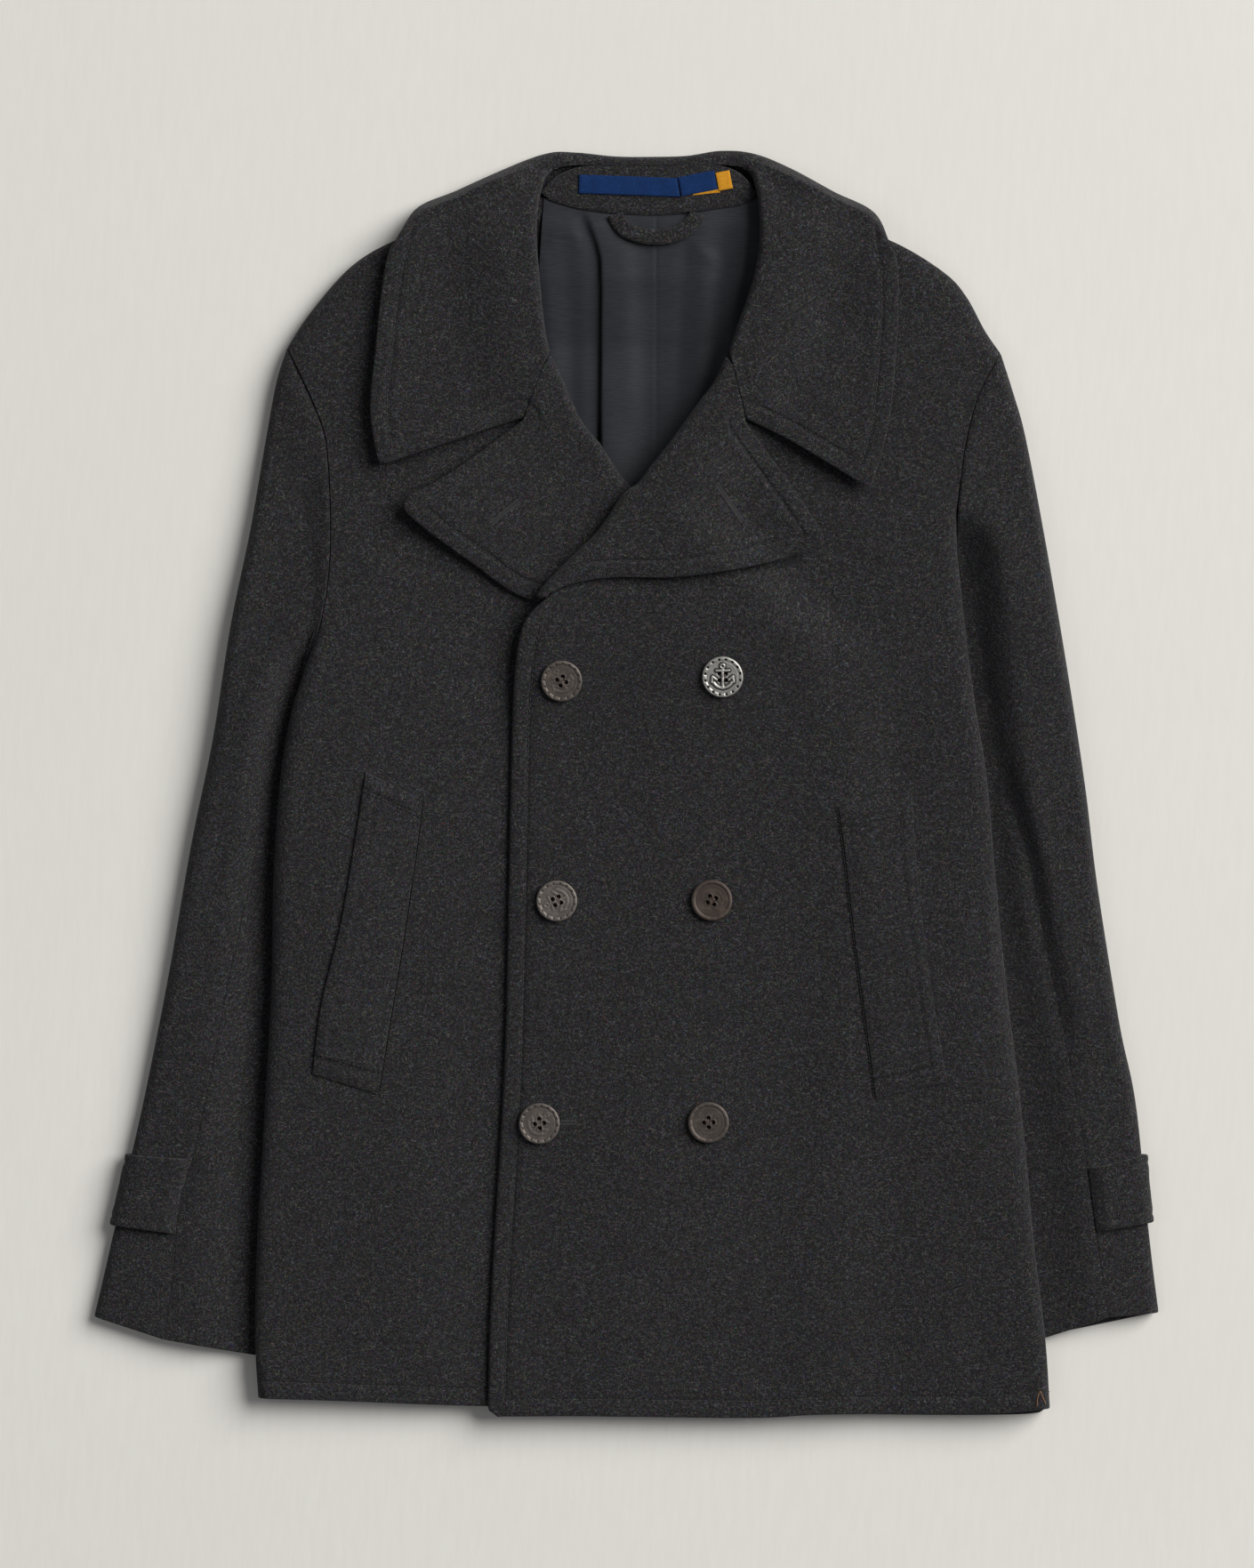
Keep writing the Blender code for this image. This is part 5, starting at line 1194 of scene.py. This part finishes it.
def sleeve(made):
    """Makes the two pieces of a sleeve."""
    upper, lower = parted(made.topsleeve(made.v), SLEEVE_SEAM), parted(made.undersleeve(made.v), SLEEVE_SEAM)
    if made.outward > 0:
        upper = turned_over(upper)
    else:
        lower = turned_over(lower)
    for kind, grid in (("topsleeve", upper), ("undersleeve", lower)):
        reach = np.full(grid.shape[:2], 0.12)
        reach[0] = 1.0
        reach[-1, 1:-1] = WALL / 2
        finished(f"{kind}_{made.side}", grid, reach=reach)


TAB_WALL = 3.2
TAB_STITCH = 6.0  # its stitching in from its edges


def cuff_tab(made):
    """A tab of double cloth from the seam round the outer fold, lying on the sleeve."""
    top, bottom, reach = made.tab
    v = stations(top, bottom, 1.4 / made.outer.length)
    sleeve_grid = made.topsleeve(v)
    steps = np.linalg.norm(np.diff(sleeve_grid, axis=1), axis=2)
    along = np.hstack([np.zeros((len(v), 1)), np.cumsum(steps, axis=1)])
    wanted = np.concatenate([[0, 2.6], stations(4, reach - 2.6, 1.6), [reach]])
    grid = np.array([[np.interp(wanted, run, row[:, i]) for i in range(3)] for run, row in zip(along, sleeve_grid)])
    grid = grid.transpose(0, 2, 1)
    if made.outward > 0:
        grid = turned_over(grid)
    width = (bottom - top) * made.outer.length
    from_rows = np.minimum(np.linspace(0, width, len(v)), np.linspace(width, 0, len(v)))[:, None]
    from_seam = wanted if made.outward < 0 else wanted[::-1]
    from_end = reach - from_seam
    inside = np.minimum(np.minimum(from_rows, from_end), from_seam + 0.5)
    thick = TAB_WALL * (0.2 + 0.8 * step(-1, 9, from_seam))
    lift = 1.5 * REST * step(-1, 6, from_seam) + thick + edge_relief(inside, TAB_STITCH, 0.4) * step(0, 8, from_seam)
    grid = grid + facing(grid) * lift[..., None]
    finished(f"cuff_tab_{made.side}", grid, thick, reach=thick / 2)


# Trims

WELT_STITCH = 9.0  # stitching in from the opening
WELT_END_STITCH = 11.0  # and in from each end
WELT_TOP = 2.4  # thickness of a welt
WELT_GAP = 0.25  # between a welt and its front


def pocket_welt(side, table, height):
    """A pocket welt, sewn down at its seam and its ends and full towards its opening."""
    s = np.concatenate([[0, 0.06], stations(0.12, len(table) - 1.12, 0.036), [len(table) - 1.06, len(table) - 1]])
    seam_x, seam_y, open_x, open_y = section(table, s).T[..., None]
    width = float(np.hypot(open_x - seam_x, open_y - seam_y).mean())
    t = np.concatenate([[0, 2.8], stations(4.2, width - 4.2, 1.5), [width - 2.8, width]]) / width
    x, y = seam_x + (open_x - seam_x) * t, seam_y + (open_y - seam_y) * t
    corners = section(table, np.array([0, len(table) - 1.0]))
    opening = Border(np.stack([open_x[:, 0], open_y[:, 0]], -1))
    ends = [Border([row[:2], row[2:]]) for row in corners]
    seam = Border(np.stack([seam_x[:, 0], seam_y[:, 0]], -1))
    from_ends = np.minimum(ends[0].distance(x, y), ends[1].distance(x, y))
    from_seam = seam.distance(x, y)
    from_opening = opening.distance(x, y)
    sewn_down = np.minimum(step(-3, 15, from_seam), step(-2.5, 9, from_ends)) * (0.6 + 0.4 * step(0, 7, from_opening))
    relief = 0.8 * edge_relief(from_ends, WELT_END_STITCH) + 0.4 * edge_relief(from_opening, WELT_STITCH)
    thick = 0.5 + (WELT_TOP - 0.5 + relief + 0.25 * waves(x, y, 40, 41)) * sewn_down
    grid = np.stack([x, y, height(x, y) + WELT_GAP + thick], -1)
    grid, wall = face_up(grid, thick)
    return finished(f"pocket_welt_{side}", grid, wall, reach=0.8)


def hanger_loop():
    """A strip that stands up from the lining between its two sewn ends."""
    line = Line(LOOP)
    share = np.linspace(0, 1, 60)
    middle = line(share)
    ahead = unit(np.gradient(middle, axis=0))
    side = np.stack([-ahead[:, 1], ahead[:, 0]], -1) * LOOP_WIDTH / 2
    across = np.linspace(-1, 1, 9)
    x, y = coordinates(middle[:, None] + side[:, None] * across[:, None])
    crown = 1.3 * (1 - across**4)
    z = back_height(x, y) + WALL + LINING_LIFT + SEAM + 1.2 + crown + 2.2 * np.sin(math.pi * share)[:, None] ** 0.6
    grid, = face_up(np.stack([x, y, z], -1))
    return trim(cloth("hanger_loop", grid, 1.6, WOOL, "lining", 0.7), "hanger_loop")


def label(name, material, slot, lift=1.0, wall=0.8):
    """A bare label on the stand, sewn down all round."""
    x, y, width, height, turn, above = LABELS[name]
    along = np.array([math.cos(math.radians(turn)), math.sin(math.radians(turn))])
    up = np.array([-along[1], along[0]])
    rise, run = np.meshgrid(stations(0, height, 1.0), stations(0, width, 1.0), indexing="ij")
    plan = np.array([x, y]) + along * run[..., None] + up * rise[..., None]
    plan = plan + along * (run / width * (above - width) * rise / height)[..., None]
    inside = np.minimum(np.minimum(rise, height - rise), np.minimum(run, width - run))
    uneven = 0.15 * waves(*coordinates(plan), 18, 51)
    z = STAND_TOP + SEAM + lift - 0.35 * hump(inside, 0.7) + uneven
    grid = np.concatenate([plan, z[..., None]], -1)
    return trim(cloth(name, grid, wall, material, slot, min(0.35, wall)), name.removesuffix("_tail"))


# Sewing


def sewn_tree():
    """Stitches along a path: short rounded stretches of thread, each sunk at its ends and a little uneven."""
    tree = bpy.data.node_groups.new("sewn", "GeometryNodeTree")
    kinds = {"Geometry": "NodeSocketGeometry", "Seed": "NodeSocketInt", "Thread": "NodeSocketMaterial"}
    sockets = {}
    for name in ("Geometry", "Pitch", "Length", "Thickness", "Flatness", "Uneven", "Seed", "Thread"):
        socket = tree.interface.new_socket(name, in_out="INPUT", socket_type=kinds.get(name, "NodeSocketFloat"))
        sockets[name] = socket.identifier
    tree.interface.new_socket("Geometry", in_out="OUTPUT", socket_type="NodeSocketGeometry")

    def add(kind, *values, **named):
        return filled(tree, tree.nodes.new(kind), *values, **named)

    given = add("NodeGroupInput").outputs
    points = tree.nodes.new("GeometryNodeCurveToPoints")
    points.mode = "LENGTH"
    curve = add("GeometryNodeMeshToCurve", Mesh=given["Geometry"]).outputs["Curve"]
    filled(tree, points, Curve=curve, Length=given["Pitch"])
    chance = tree.nodes.new("FunctionNodeRandomValue")
    chance.data_type = "FLOAT"
    filled(tree, chance, Seed=given["Seed"])
    off_middle = reckoned(tree, "SUBTRACT", chance.outputs["Value"], 0.5)
    spread = reckoned(tree, "MULTIPLY_ADD", off_middle, given["Uneven"], 1.0)
    half = reckoned(tree, "MULTIPLY", given["Length"], 0.5)
    long = reckoned(tree, "MULTIPLY", half, spread)
    low = reckoned(tree, "MULTIPLY", given["Thickness"], given["Flatness"])
    size = add("ShaderNodeCombineXYZ", low, given["Thickness"], long).outputs["Vector"]
    ball = add("GeometryNodeMeshUVSphere", Segments=6, Rings=5, Radius=1.0).outputs["Mesh"]
    place = add("GeometryNodeInstanceOnPoints", Points=points.outputs["Points"], Instance=ball,
                Rotation=points.outputs["Rotation"], Scale=size).outputs["Instances"]
    real = add("GeometryNodeRealizeInstances", Geometry=place).outputs["Geometry"]
    paint = add("GeometryNodeSetMaterial", Geometry=real, Material=given["Thread"]).outputs["Geometry"]
    add("NodeGroupOutput", Geometry=paint)
    return tree, sockets


SEWN_TREE, SEWN_SOCKETS = sewn_tree()


def made_plain(name, source, material):
    """The plain mesh that a source object comes out as. The source is removed."""
    graph = bpy.context.evaluated_depsgraph_get()
    mesh = bpy.data.meshes.new_from_object(source.evaluated_get(graph))
    bpy.data.objects.remove(source)
    mesh.materials.clear()
    mesh.materials.append(material)
    mesh.shade_smooth()
    piece = placed(name, mesh)
    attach(piece, "root")


PURL_SPREAD = 1.1  # from the middle of a buttonhole to the stitches along its sides
PURL_PITCH = 0.75
SLIT_WIDTH = 1.5
MOST_JUMP = 2.5  # of the ground, over which a run of stitches goes on


def laid_out(start, end):
    """Both ends of a plan path as arrays, and its direction to the left."""
    start, end = np.array(start, float), np.array(end, float)
    way = unit(end - start)
    return start, end, np.array([-way[1], way[0]])


def purl(start, end):
    """Places and directions of the stitches across the two sides of a buttonhole from start to end, in plan."""
    start, end, side = laid_out(start, end)
    return [(start + (end - start) * t + side * k * PURL_SPREAD, side)
            for t in stations(0, 1, PURL_PITCH / np.linalg.norm(end - start)) for k in (-1, 1)]


class Ground:
    """A finished piece seen from above, for what is sewn on it."""

    def __init__(self, piece):
        points = [vertex.co.copy() for vertex in piece.data.vertices]
        self.tree = BVHTree.FromPolygons(points, [list(polygon.vertices) for polygon in piece.data.polygons])

    def __call__(self, x, y):
        hit = self.tree.ray_cast(Vector((x, y, 100)) * MM, Vector((0, 0, -1)))[0]
        return None if hit is None else hit.z / MM


def on_ground(ground, path, raised):
    """Runs of points along a plan path where the ground is met without a jump: x, y, z."""
    line = Line(path, 1) if len(path) > 2 else Line(path)
    runs, run = [], []
    for x, y in line(stations(0, 1, 1.0 / line.length)):
        z = ground(x, y)
        if z is None or (run and abs(z - run[-1][2]) > MOST_JUMP):
            runs.append(run)
            run = []
        if z is not None:
            run.append((x, y, z + raised))
    return [run for run in runs + [run] if len(run) > 3]


def inset(points, distance, side):
    """The plan path at a distance inside a border of many points, without the loops that corners leave."""
    line = Border(points)
    fine = line(stations(0, 1, 1.0 / line.length))
    way = unit(np.gradient(fine, axis=0))
    moved = fine + np.stack([-way[:, 1], way[:, 0]], -1) * distance * side
    kept = line.distance(moved[:, 0], moved[:, 1]) > distance - 0.25
    return moved[kept]


def within(ground, border, distance):
    """The plan path at a distance inside the border of a piece, on whichever side of it the piece lies."""
    both = [inset(border, distance, side=side) for side in (1, -1)]
    return max(both, key=lambda path: sum(ground(*place) is not None for place in path[::6]))


def sewing(name, ground, paths, pitch=3.9, length=3.1, thickness=0.42, flatness=0.75, seed=1, raised=0.1,
           material=THREAD):
    """Stitches along plan paths on the ground, or along paths that have heights already."""
    points, edges = [], []
    for path in paths:
        path = np.asarray(path, float)
        for run in [path] if path.shape[1] == 3 else on_ground(ground, path, raised):
            base = len(points)
            points += [tuple(np.array(point) * MM) for point in run]
            edges += [(base + k, base + k + 1) for k in range(len(run) - 1)]
    mesh = bpy.data.meshes.new(name + "_path")
    mesh.from_pydata(points, edges, [])
    source = placed(name + "_path", mesh)
    modifier = source.modifiers.new("sewn", "NODES")
    modifier.node_group = SEWN_TREE
    values = {"Pitch": pitch * MM, "Length": length * MM, "Thickness": thickness * MM, "Flatness": flatness,
              "Uneven": 0.12, "Seed": seed, "Thread": material}
    for key, value in values.items():
        modifier[SEWN_SOCKETS[key]] = value
    made_plain(name, source, material)


def bar_stitches(name, ground, bars):
    """Single stitches round a buttonhole, each at its place and in its direction."""
    paths = []
    for place, way in bars:
        z = ground(*place)
        if z is not None:
            here = np.array([*place, z + 0.05])
            paths.append(np.array([here, here + np.array([*way, 0]), here + 2 * np.array([*way, 0])]))
    sewing(name, ground, paths, pitch=9.0, length=0.95, thickness=0.4, seed=7, material=PURL)


def loose_thread(name, ground, places):
    """A bit of thread lying on the cloth."""
    line = Line(places, 3)
    path = [(*place, ground(*place) + 0.4) for place in line(np.linspace(0, 1, 14 * len(places)))
            if ground(*place) is not None]
    sewing(name, ground, [path], pitch=0.5, length=0.8, thickness=0.3, flatness=1.0, material=LOOSE_THREAD)


def slit(name, ground, start, end):
    """Painted shade in the opening between the two sides of a buttonhole, as a narrow near-black strip let into the
    cloth.
    """
    start, end, side = laid_out(start, end)
    rows = []
    for t in np.linspace(0, 1, 24):
        middle = start + (end - start) * t
        half = SLIT_WIDTH / 2 * math.sin(math.pi * min(max(t, 0.03), 0.97)) ** 0.3
        places = [middle + side * half * k for k in (1, 0.5, 0, -0.5, -1)]
        rows.append([(*place, ground(*place) + 0.07) for place in places])
    grid, = face_up(np.array(rows))
    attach(cloth(name, grid, 0.2, PAINTED_SHADE, "wool", 0.05), "root")


# Buttons

RADIUS = 13.8
BUTTON_HEIGHT = 3.6
BUTTON_RISE = 0.5  # of its lower side over the cloth
HOLE_RADIUS = 1.3
HOLE_OFFSET = 2.15  # of each hole from the middle, across and up
HOLE_CORNERS = ((1, 1), (1, -1), (-1, -1), (-1, 1))
PIPS = 16
PIP_RING = 0.86  # share of the radius on which the pips lie
# Tone of the metal (0 dark to 1 bright), turn in degrees, depth of the anchor and of the pips of each button
BUTTON_LOOKS = [(0.2, 28, 0.25, 0.6), (0.32, 70, 0.35, 0.6), (0.26, -30, 0.28, 0.6), (1.0, 0, 1.0, 1.0),
                (0.04, 45, 0.08, 0.1), (0.14, 12, 0.1, 0.2)]


# Level of a button's face: share of its radius, share of its height
BUTTON_PROFILE = [(0, 0.76), (0.66, 0.78), (0.74, 0.8), (0.78, 0.76), (0.83, 0.9), (0.88, 0.94), (0.93, 0.93),
                  (0.97, 0.85), (1.0, 0.62)]
# Its sides: share of the radius, height
BUTTON_SIDES = [(1.0, 1.5), (0.985, 0.9), (0.93, 0.35), (0.85, 0.0)]


def round_bar(off, width):
    """1 on the middle line of a bar, rounded down to 0 at its sides."""
    return np.clip(1 - (off / width) ** 2, 0, 1) ** 0.5


def stroke(x, y, a, b, width):
    """A straight bar from a to b."""
    a, b = np.array(a), np.array(b)
    way = b - a
    t = np.clip(((x - a[0]) * way[0] + (y - a[1]) * way[1]) / (way @ way), 0, 1)
    return round_bar(np.hypot(x - a[0] - t * way[0], y - a[1] - t * way[1]), width)


def anchor(x, y, swell=0.0):
    """Relief of a plain anchor with a ring, its arms below; swell makes every stroke wider."""
    ring = round_bar(np.hypot(x, y - 7.4) - 1.35, 0.6 + swell)
    shank = stroke(x, y, (0, 6.0), (0, -7.6), 0.95 + swell)
    stock = stroke(x, y, (-4.3, 4.4), (4.3, 4.4), 0.85 + swell)
    angle = np.degrees(np.arctan2(x, -(y + 0.4)))
    bow = round_bar(np.hypot(x, y + 0.4) - 6.9, 1.0 + swell) * step(70, 62, abs(angle))
    flukes = [stroke(x, y, (side * 6.9, 0.4), (side * end_x, end_y), 0.85 + swell)
              for side in (-1, 1) for end_x, end_y in ((4.0, -1.9), (7.4, -3.4))]
    return np.max([ring, shank, stock, bow, *flukes], axis=0)


def button_shape(number):
    """Cast button: dished face with a fine anchor, a ring of pips in its raised rim and four holes. Its points, its
    faces, and at each point its wear with painted shade taken off in the pips and round the anchor, and its painted
    shade with patina, near black in the holes."""
    *_, clear, pitted = BUTTON_LOOKS[number - 1]
    rings = np.concatenate([[0.04], stations(0.07, 0.74, 0.028), stations(0.755, 0.97, 0.02), [0.985, 1.0]])
    angles = np.linspace(0, 2 * math.pi, 132, endpoint=False)
    r, a = np.meshgrid(rings, angles, indexing="ij")
    x, y = r * RADIUS * np.cos(a), r * RADIUS * np.sin(a)
    relief = anchor(x, y)
    level = np.interp(r, *zip(*BUTTON_PROFILE)) * BUTTON_HEIGHT
    level += 0.75 * clear * relief * step(0.74, 0.68, r)
    level += 0.07 * (1 - clear) * np.sin(r * 70) * step(0.36, 0.42, r) * step(0.76, 0.7, r)
    around = (a * PIPS / (2 * math.pi)) % 1 - 0.5
    pip = 0.85 * np.hypot(around * 2 * math.pi * RADIUS * PIP_RING / PIPS, (r - PIP_RING) * RADIUS)
    level -= 0.7 * pitted * step(0.95, 0.45, pip)
    deep = np.zeros(r.shape)
    for hx, hy in HOLE_CORNERS:
        near = np.hypot(x - hx * HOLE_OFFSET, y - hy * HOLE_OFFSET)
        level += 0.22 * hump(near - HOLE_RADIUS - 0.45, 0.35)
        deep = np.maximum(deep, step(HOLE_RADIUS + 0.15, HOLE_RADIUS - 0.35, near))
    level = level * (1 - deep) + 0.5 * deep
    face = np.stack([x, y, level], -1)
    sides = [np.stack([x[-1] * share, y[-1] * share, np.full(len(angles), z)], -1) for share, z in BUTTON_SIDES]
    points = np.vstack([[[0, 0, level[0].mean()]], face.reshape(-1, 3), *sides, [[0, 0, 0]]])
    loops = [1 + k * len(angles) + np.arange(len(angles)) for k in range(len(rings) + len(sides))]
    faces = [[0, int(a), int(b)] for a, b in zip(loops[0], np.roll(loops[0], -1))]
    for inner, outer in zip(loops, loops[1:]):
        faces += quad_strip(np.append(outer, outer[0]), np.append(inner, inner[0])).tolist()
    last = len(points) - 1
    faces += [[last, int(b), int(a)] for a, b in zip(loops[-1], np.roll(loops[-1], -1))]
    # Painted shade with patina: a dark line round the anchor
    outline = np.clip(1.2 * (anchor(x, y, 1.1) - relief), 0, 1) * step(0.78, 0.72, r)
    raised = clear * (0.34 + 0.4 * relief * step(0.74, 0.68, r))
    metal = 0.12 * step(0.76, 0.84, r) + 0.3 * step(0.95, 0.975, r) + raised
    # Less bare metal in the pips and round the anchor: painted shade with patina
    metal = (metal + 0.2 * clear) * (1 - 0.9 * pitted * step(1.0, 0.5, pip)) * (1 - (0.35 + 0.65 * clear) * outline)
    # Painted shade: the holes near black, and shade with patina in the pips and round the anchor
    dark = np.clip(deep + 0.7 * clear * outline + 0.8 * pitted * step(1.0, 0.6, pip), 0, 1)
    others = last - r.size
    wear_and_shade = np.concatenate([[0.0], metal.ravel(), np.full(others, 0.1)])
    return points, faces, wear_and_shade, np.concatenate([[0.0], dark.ravel(), np.zeros(others)])


def button_seat(number):
    """How a button lies on the left front, at the middle of its node's box: its turn and its place."""
    low, high = (Vector(corner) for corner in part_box(f"button_{number}"))
    middle = (low + high) / 2
    x, y = middle.x / MM, middle.y / MM
    ground = Ground(FRONTS["left"])
    rim = []
    for angle in np.linspace(0, 2 * math.pi, 16, endpoint=False):
        at = x + RADIUS * math.cos(angle), y + RADIUS * math.sin(angle)
        rim.append((*at, ground(*at)))
    rim = np.array(rim)
    plane = np.column_stack([rim[:, :2], np.ones(len(rim))])
    slope_x, slope_y, base = np.linalg.lstsq(plane, rim[:, 2], rcond=None)[0]
    upright = Vector((-slope_x, -slope_y, 1)).to_track_quat("Z", "Y").to_matrix()
    spin = Matrix.Rotation(math.radians(BUTTON_LOOKS[number - 1][1]), 3, "Z")
    return np.array(upright @ spin), np.array([x, y, slope_x * x + slope_y * y + base + BUTTON_RISE])


def button(number):
    """Makes a button, and gives the places of its four holes."""
    points, faces, wear_and_shade, shade_and_patina = button_shape(number)
    turn, at = button_seat(number)
    points = points @ turn.T + at
    piece = add_piece(f"pewter_button_{number}", points, faces, PEWTER, "pewter")
    painted(piece, "wear_and_shade", wear_and_shade)
    painted(piece, "tone", np.full(len(points), BUTTON_LOOKS[number - 1][0]))
    painted(piece, "shade_and_patina", shade_and_patina)
    trim(piece, f"button_{number}")
    reach = HOLE_OFFSET - 0.45
    return [turn @ np.array([hx * reach, hy * reach, 1.9]) + at for hx, hy in HOLE_CORNERS]


THREAD_POINTS = 9


def button_threads(holes):
    """Thread crossing between the four holes of every button, two strands each."""
    chance = np.random.default_rng(6)
    curve = bpy.data.curves.new("button_threads", "CURVE")
    curve.dimensions = "3D"
    curve.bevel_depth = 0.38 * MM
    curve.bevel_resolution = 2
    curve.use_fill_caps = True
    for four in holes:
        for start, end in ((four[0], four[2]), (four[1], four[3])):
            side = np.cross(unit(end - start), (0, 0, 1))
            spline = curve.splines.new("POLY")
            spline.points.add(THREAD_POINTS - 1)
            for point, t in zip(spline.points, np.linspace(0, 1, THREAD_POINTS)):
                bow = 0.55 * math.sin(math.pi * t) + (-1.6 if t in (0, 1) else 0)
                shift = side * chance.uniform(-0.06, 0.06)
                point.co = (*((start + (end - start) * t + shift + np.array([0, 0, bow])) * MM), 1)
    made_plain("button_threads", placed("button_threads_curve", curve), BUTTON_THREAD)



# Making the coat

FRONTS = {
    "right": front("front_right", RIGHT_SIDE, RIGHT_ARMHOLE, RIGHT_FRONT_EDGE, RIGHT_ROLL_EDGE, RIGHT_HEM,
                   RIGHT_SHOULDER, right_front_height, 111),
    "left": front("front_left", LEFT_SIDE, LEFT_ARMHOLE, LEFT_FRONT_EDGE, LEFT_ROLL_EDGE, LEFT_HEM,
                  LEFT_SHOULDER, left_front_height, -85),
}
back()
back_lining(hanger_loop())
collar_stand([label("maker_label", LABEL_BLUE, "label_blue"), label("size_label", LABEL_BLUE, "label_blue"),
              label("size_tab", LABEL_YELLOW, "label_yellow")])
label("size_tab_tail", LABEL_YELLOW, "label_yellow", lift=0.25, wall=0.2)
LAPELS = {
    "right": lapel("lapel_right", RIGHT_LAPEL, RIGHT_LAPEL_CORNERS, right_front_height, 1),
    "left": lapel("lapel_left", LEFT_LAPEL, LEFT_LAPEL_CORNERS, left_front_height, 2),
}
COLLAR_MADE = collar()
for made in (Sleeve("right", RIGHT_OUTER, RIGHT_SLEEVE_SEAM, RIGHT_EMERGING, RIGHT_HIDDEN_EDGE, RIGHT_UNDERSIDE,
                    RIGHT_ARMHOLE, -1),
             Sleeve("left", LEFT_OUTER, LEFT_SLEEVE_SEAM, LEFT_EMERGING, LEFT_HIDDEN_EDGE, LEFT_UNDERSIDE,
                    LEFT_ARMHOLE, 1)):
    sleeve(made)
    cuff_tab(made)
WELTS = {"right": (pocket_welt("right", RIGHT_WELT, right_front_height), RIGHT_WELT),
         "left": (pocket_welt("left", LEFT_WELT, left_front_height), LEFT_WELT)}
button_threads([button(number) for number in range(1, 7)])

# Topstitching along the edges
BORDERS = {"right": RIGHT_HEM + RIGHT_FRONT_EDGE[1:], "left": LEFT_FRONT_EDGE[::-1] + LEFT_HEM[::-1][1:]}
for side, border in BORDERS.items():
    ground = Ground(FRONTS[side])
    sewing(f"edge_stitches_{side}", ground, [within(ground, border, STITCH_IN)], seed=3)
    lapel_piece, border = LAPELS[side]
    ground = Ground(lapel_piece)
    sewing(f"lapel_stitches_{side}", ground, [within(ground, border.points, STITCH_IN)], seed=4)
ground = Ground(COLLAR_MADE[0])
sewing("collar_stitches", ground, [within(ground, COLLAR_MADE[1].points, STITCH_IN)], seed=5)

# Painted shade along the seams of the pocket welts, as rows of near-black stitches, and their end stitches drawn in the
# same near-black
for side, (welt, table) in WELTS.items():
    rows = section(table, np.linspace(0.06, len(table) - 1.06, 60))
    seam = rows[:, :2] + unit(rows[:, :2] - rows[:, 2:]) * 0.9
    # Painted shade: near-black stitches just outside each welt's seam
    sewing(f"welt_seam_{side}", Ground(FRONTS[side]), [seam], pitch=2.5, length=2.4, thickness=0.8, flatness=0.5,
           seed=8, raised=0.25, material=PAINTED_SHADE)
    ends = [row[:2] + (row[2:] - row[:2]) * np.linspace(0.04, 0.96, 20)[:, None] + unit(away) * WELT_END_STITCH
            for row, away in ((rows[0], rows[6, :2] - rows[0, :2]), (rows[-1], rows[-7, :2] - rows[-1, :2]))]
    sewing(f"welt_stitches_{side}", Ground(welt), ends, pitch=3.0, length=2.6, thickness=0.7, flatness=0.5, seed=9,
           raised=0.2, material=PAINTED_SHADE)

# Buttonholes, start and end in plan: on both lapels, and what shows of two beside the right column of buttons
BUTTONHOLES = [("right_lapel", LAPELS["right"][0], (-91.7, 174.3), (-73.1, 190.2)),
               ("left_lapel", LAPELS["left"][0], (60.1, 201.2), (77.7, 175.8)),
               ("upper_front", FRONTS["left"], (-31.5, 70.2), (-24.5, 70.8)),
               ("lower_front", FRONTS["left"], (-46.5, -227.6), (-34.5, -227.4))]
for place, piece, start, end in BUTTONHOLES:
    ground = Ground(piece)
    bar_stitches(f"{place}_buttonhole", ground, purl(start, end))
    slit(f"{place}_slit", ground, start, end)

loose_thread("corner_thread", Ground(FRONTS["left"]), [(275.6, -418.0), (275.8, -413.6), (277.4, -408.6),
             (279.4, -411.8), (281.4, -416.6), (279.6, -412.6), (277.8, -408.2)])

# Floor, light and camera

FLOOR_REACH = 4.0
CAMERA_HEIGHT = 5.0
FRAME_HEIGHT = 1763 * 0.6  # what the camera sees of the floor from top to bottom, in millimetres
SENSOR_HEIGHT = 24.0


def floor():
    mesh = bpy.data.meshes.new("floor")
    mesh.from_pydata([(x * FLOOR_REACH, y * FLOOR_REACH, 0) for x, y in ((-1, -1), (1, -1), (1, 1), (-1, 1))], [],
                     [(0, 1, 2, 3)])
    mesh.materials.append(floor_finish())
    placed("floor", mesh)


def area_light(name, place, size, power, colour):
    """A round light that points at the middle of the coat."""
    lamp = bpy.data.lights.new(name, "AREA")
    lamp.shape = "DISK"
    lamp.size = size
    lamp.energy = power
    lamp.color = colour
    light = placed(name, lamp)
    light.location = place
    light.rotation_euler = (-Vector(place)).to_track_quat("-Z", "Y").to_euler()


floor()
area_light("key", (9.2, 5.2, 8.0), 10.5, 2500, (1.0, 0.982, 0.95))
area_light("fill", (-3.0, -0.6, 4.4), 3.0, 18, (0.96, 0.98, 1.0))

world = bpy.data.worlds.new("studio")
world.use_nodes = True
filled(world.node_tree, world.node_tree.nodes["Background"], Color=(0.98, 0.985, 1.0, 1), Strength=0.13)
bpy.context.scene.world = world
bpy.context.scene.view_settings.view_transform = "Standard"

camera_data = bpy.data.cameras.new("camera")
camera_data.sensor_fit = "VERTICAL"
camera_data.sensor_height = SENSOR_HEIGHT
camera_data.lens = SENSOR_HEIGHT * CAMERA_HEIGHT / (FRAME_HEIGHT * MM)
camera_data.clip_end = 50
camera = placed("camera", camera_data)
camera.location = (0, 0, CAMERA_HEIGHT)
bpy.context.scene.camera = camera
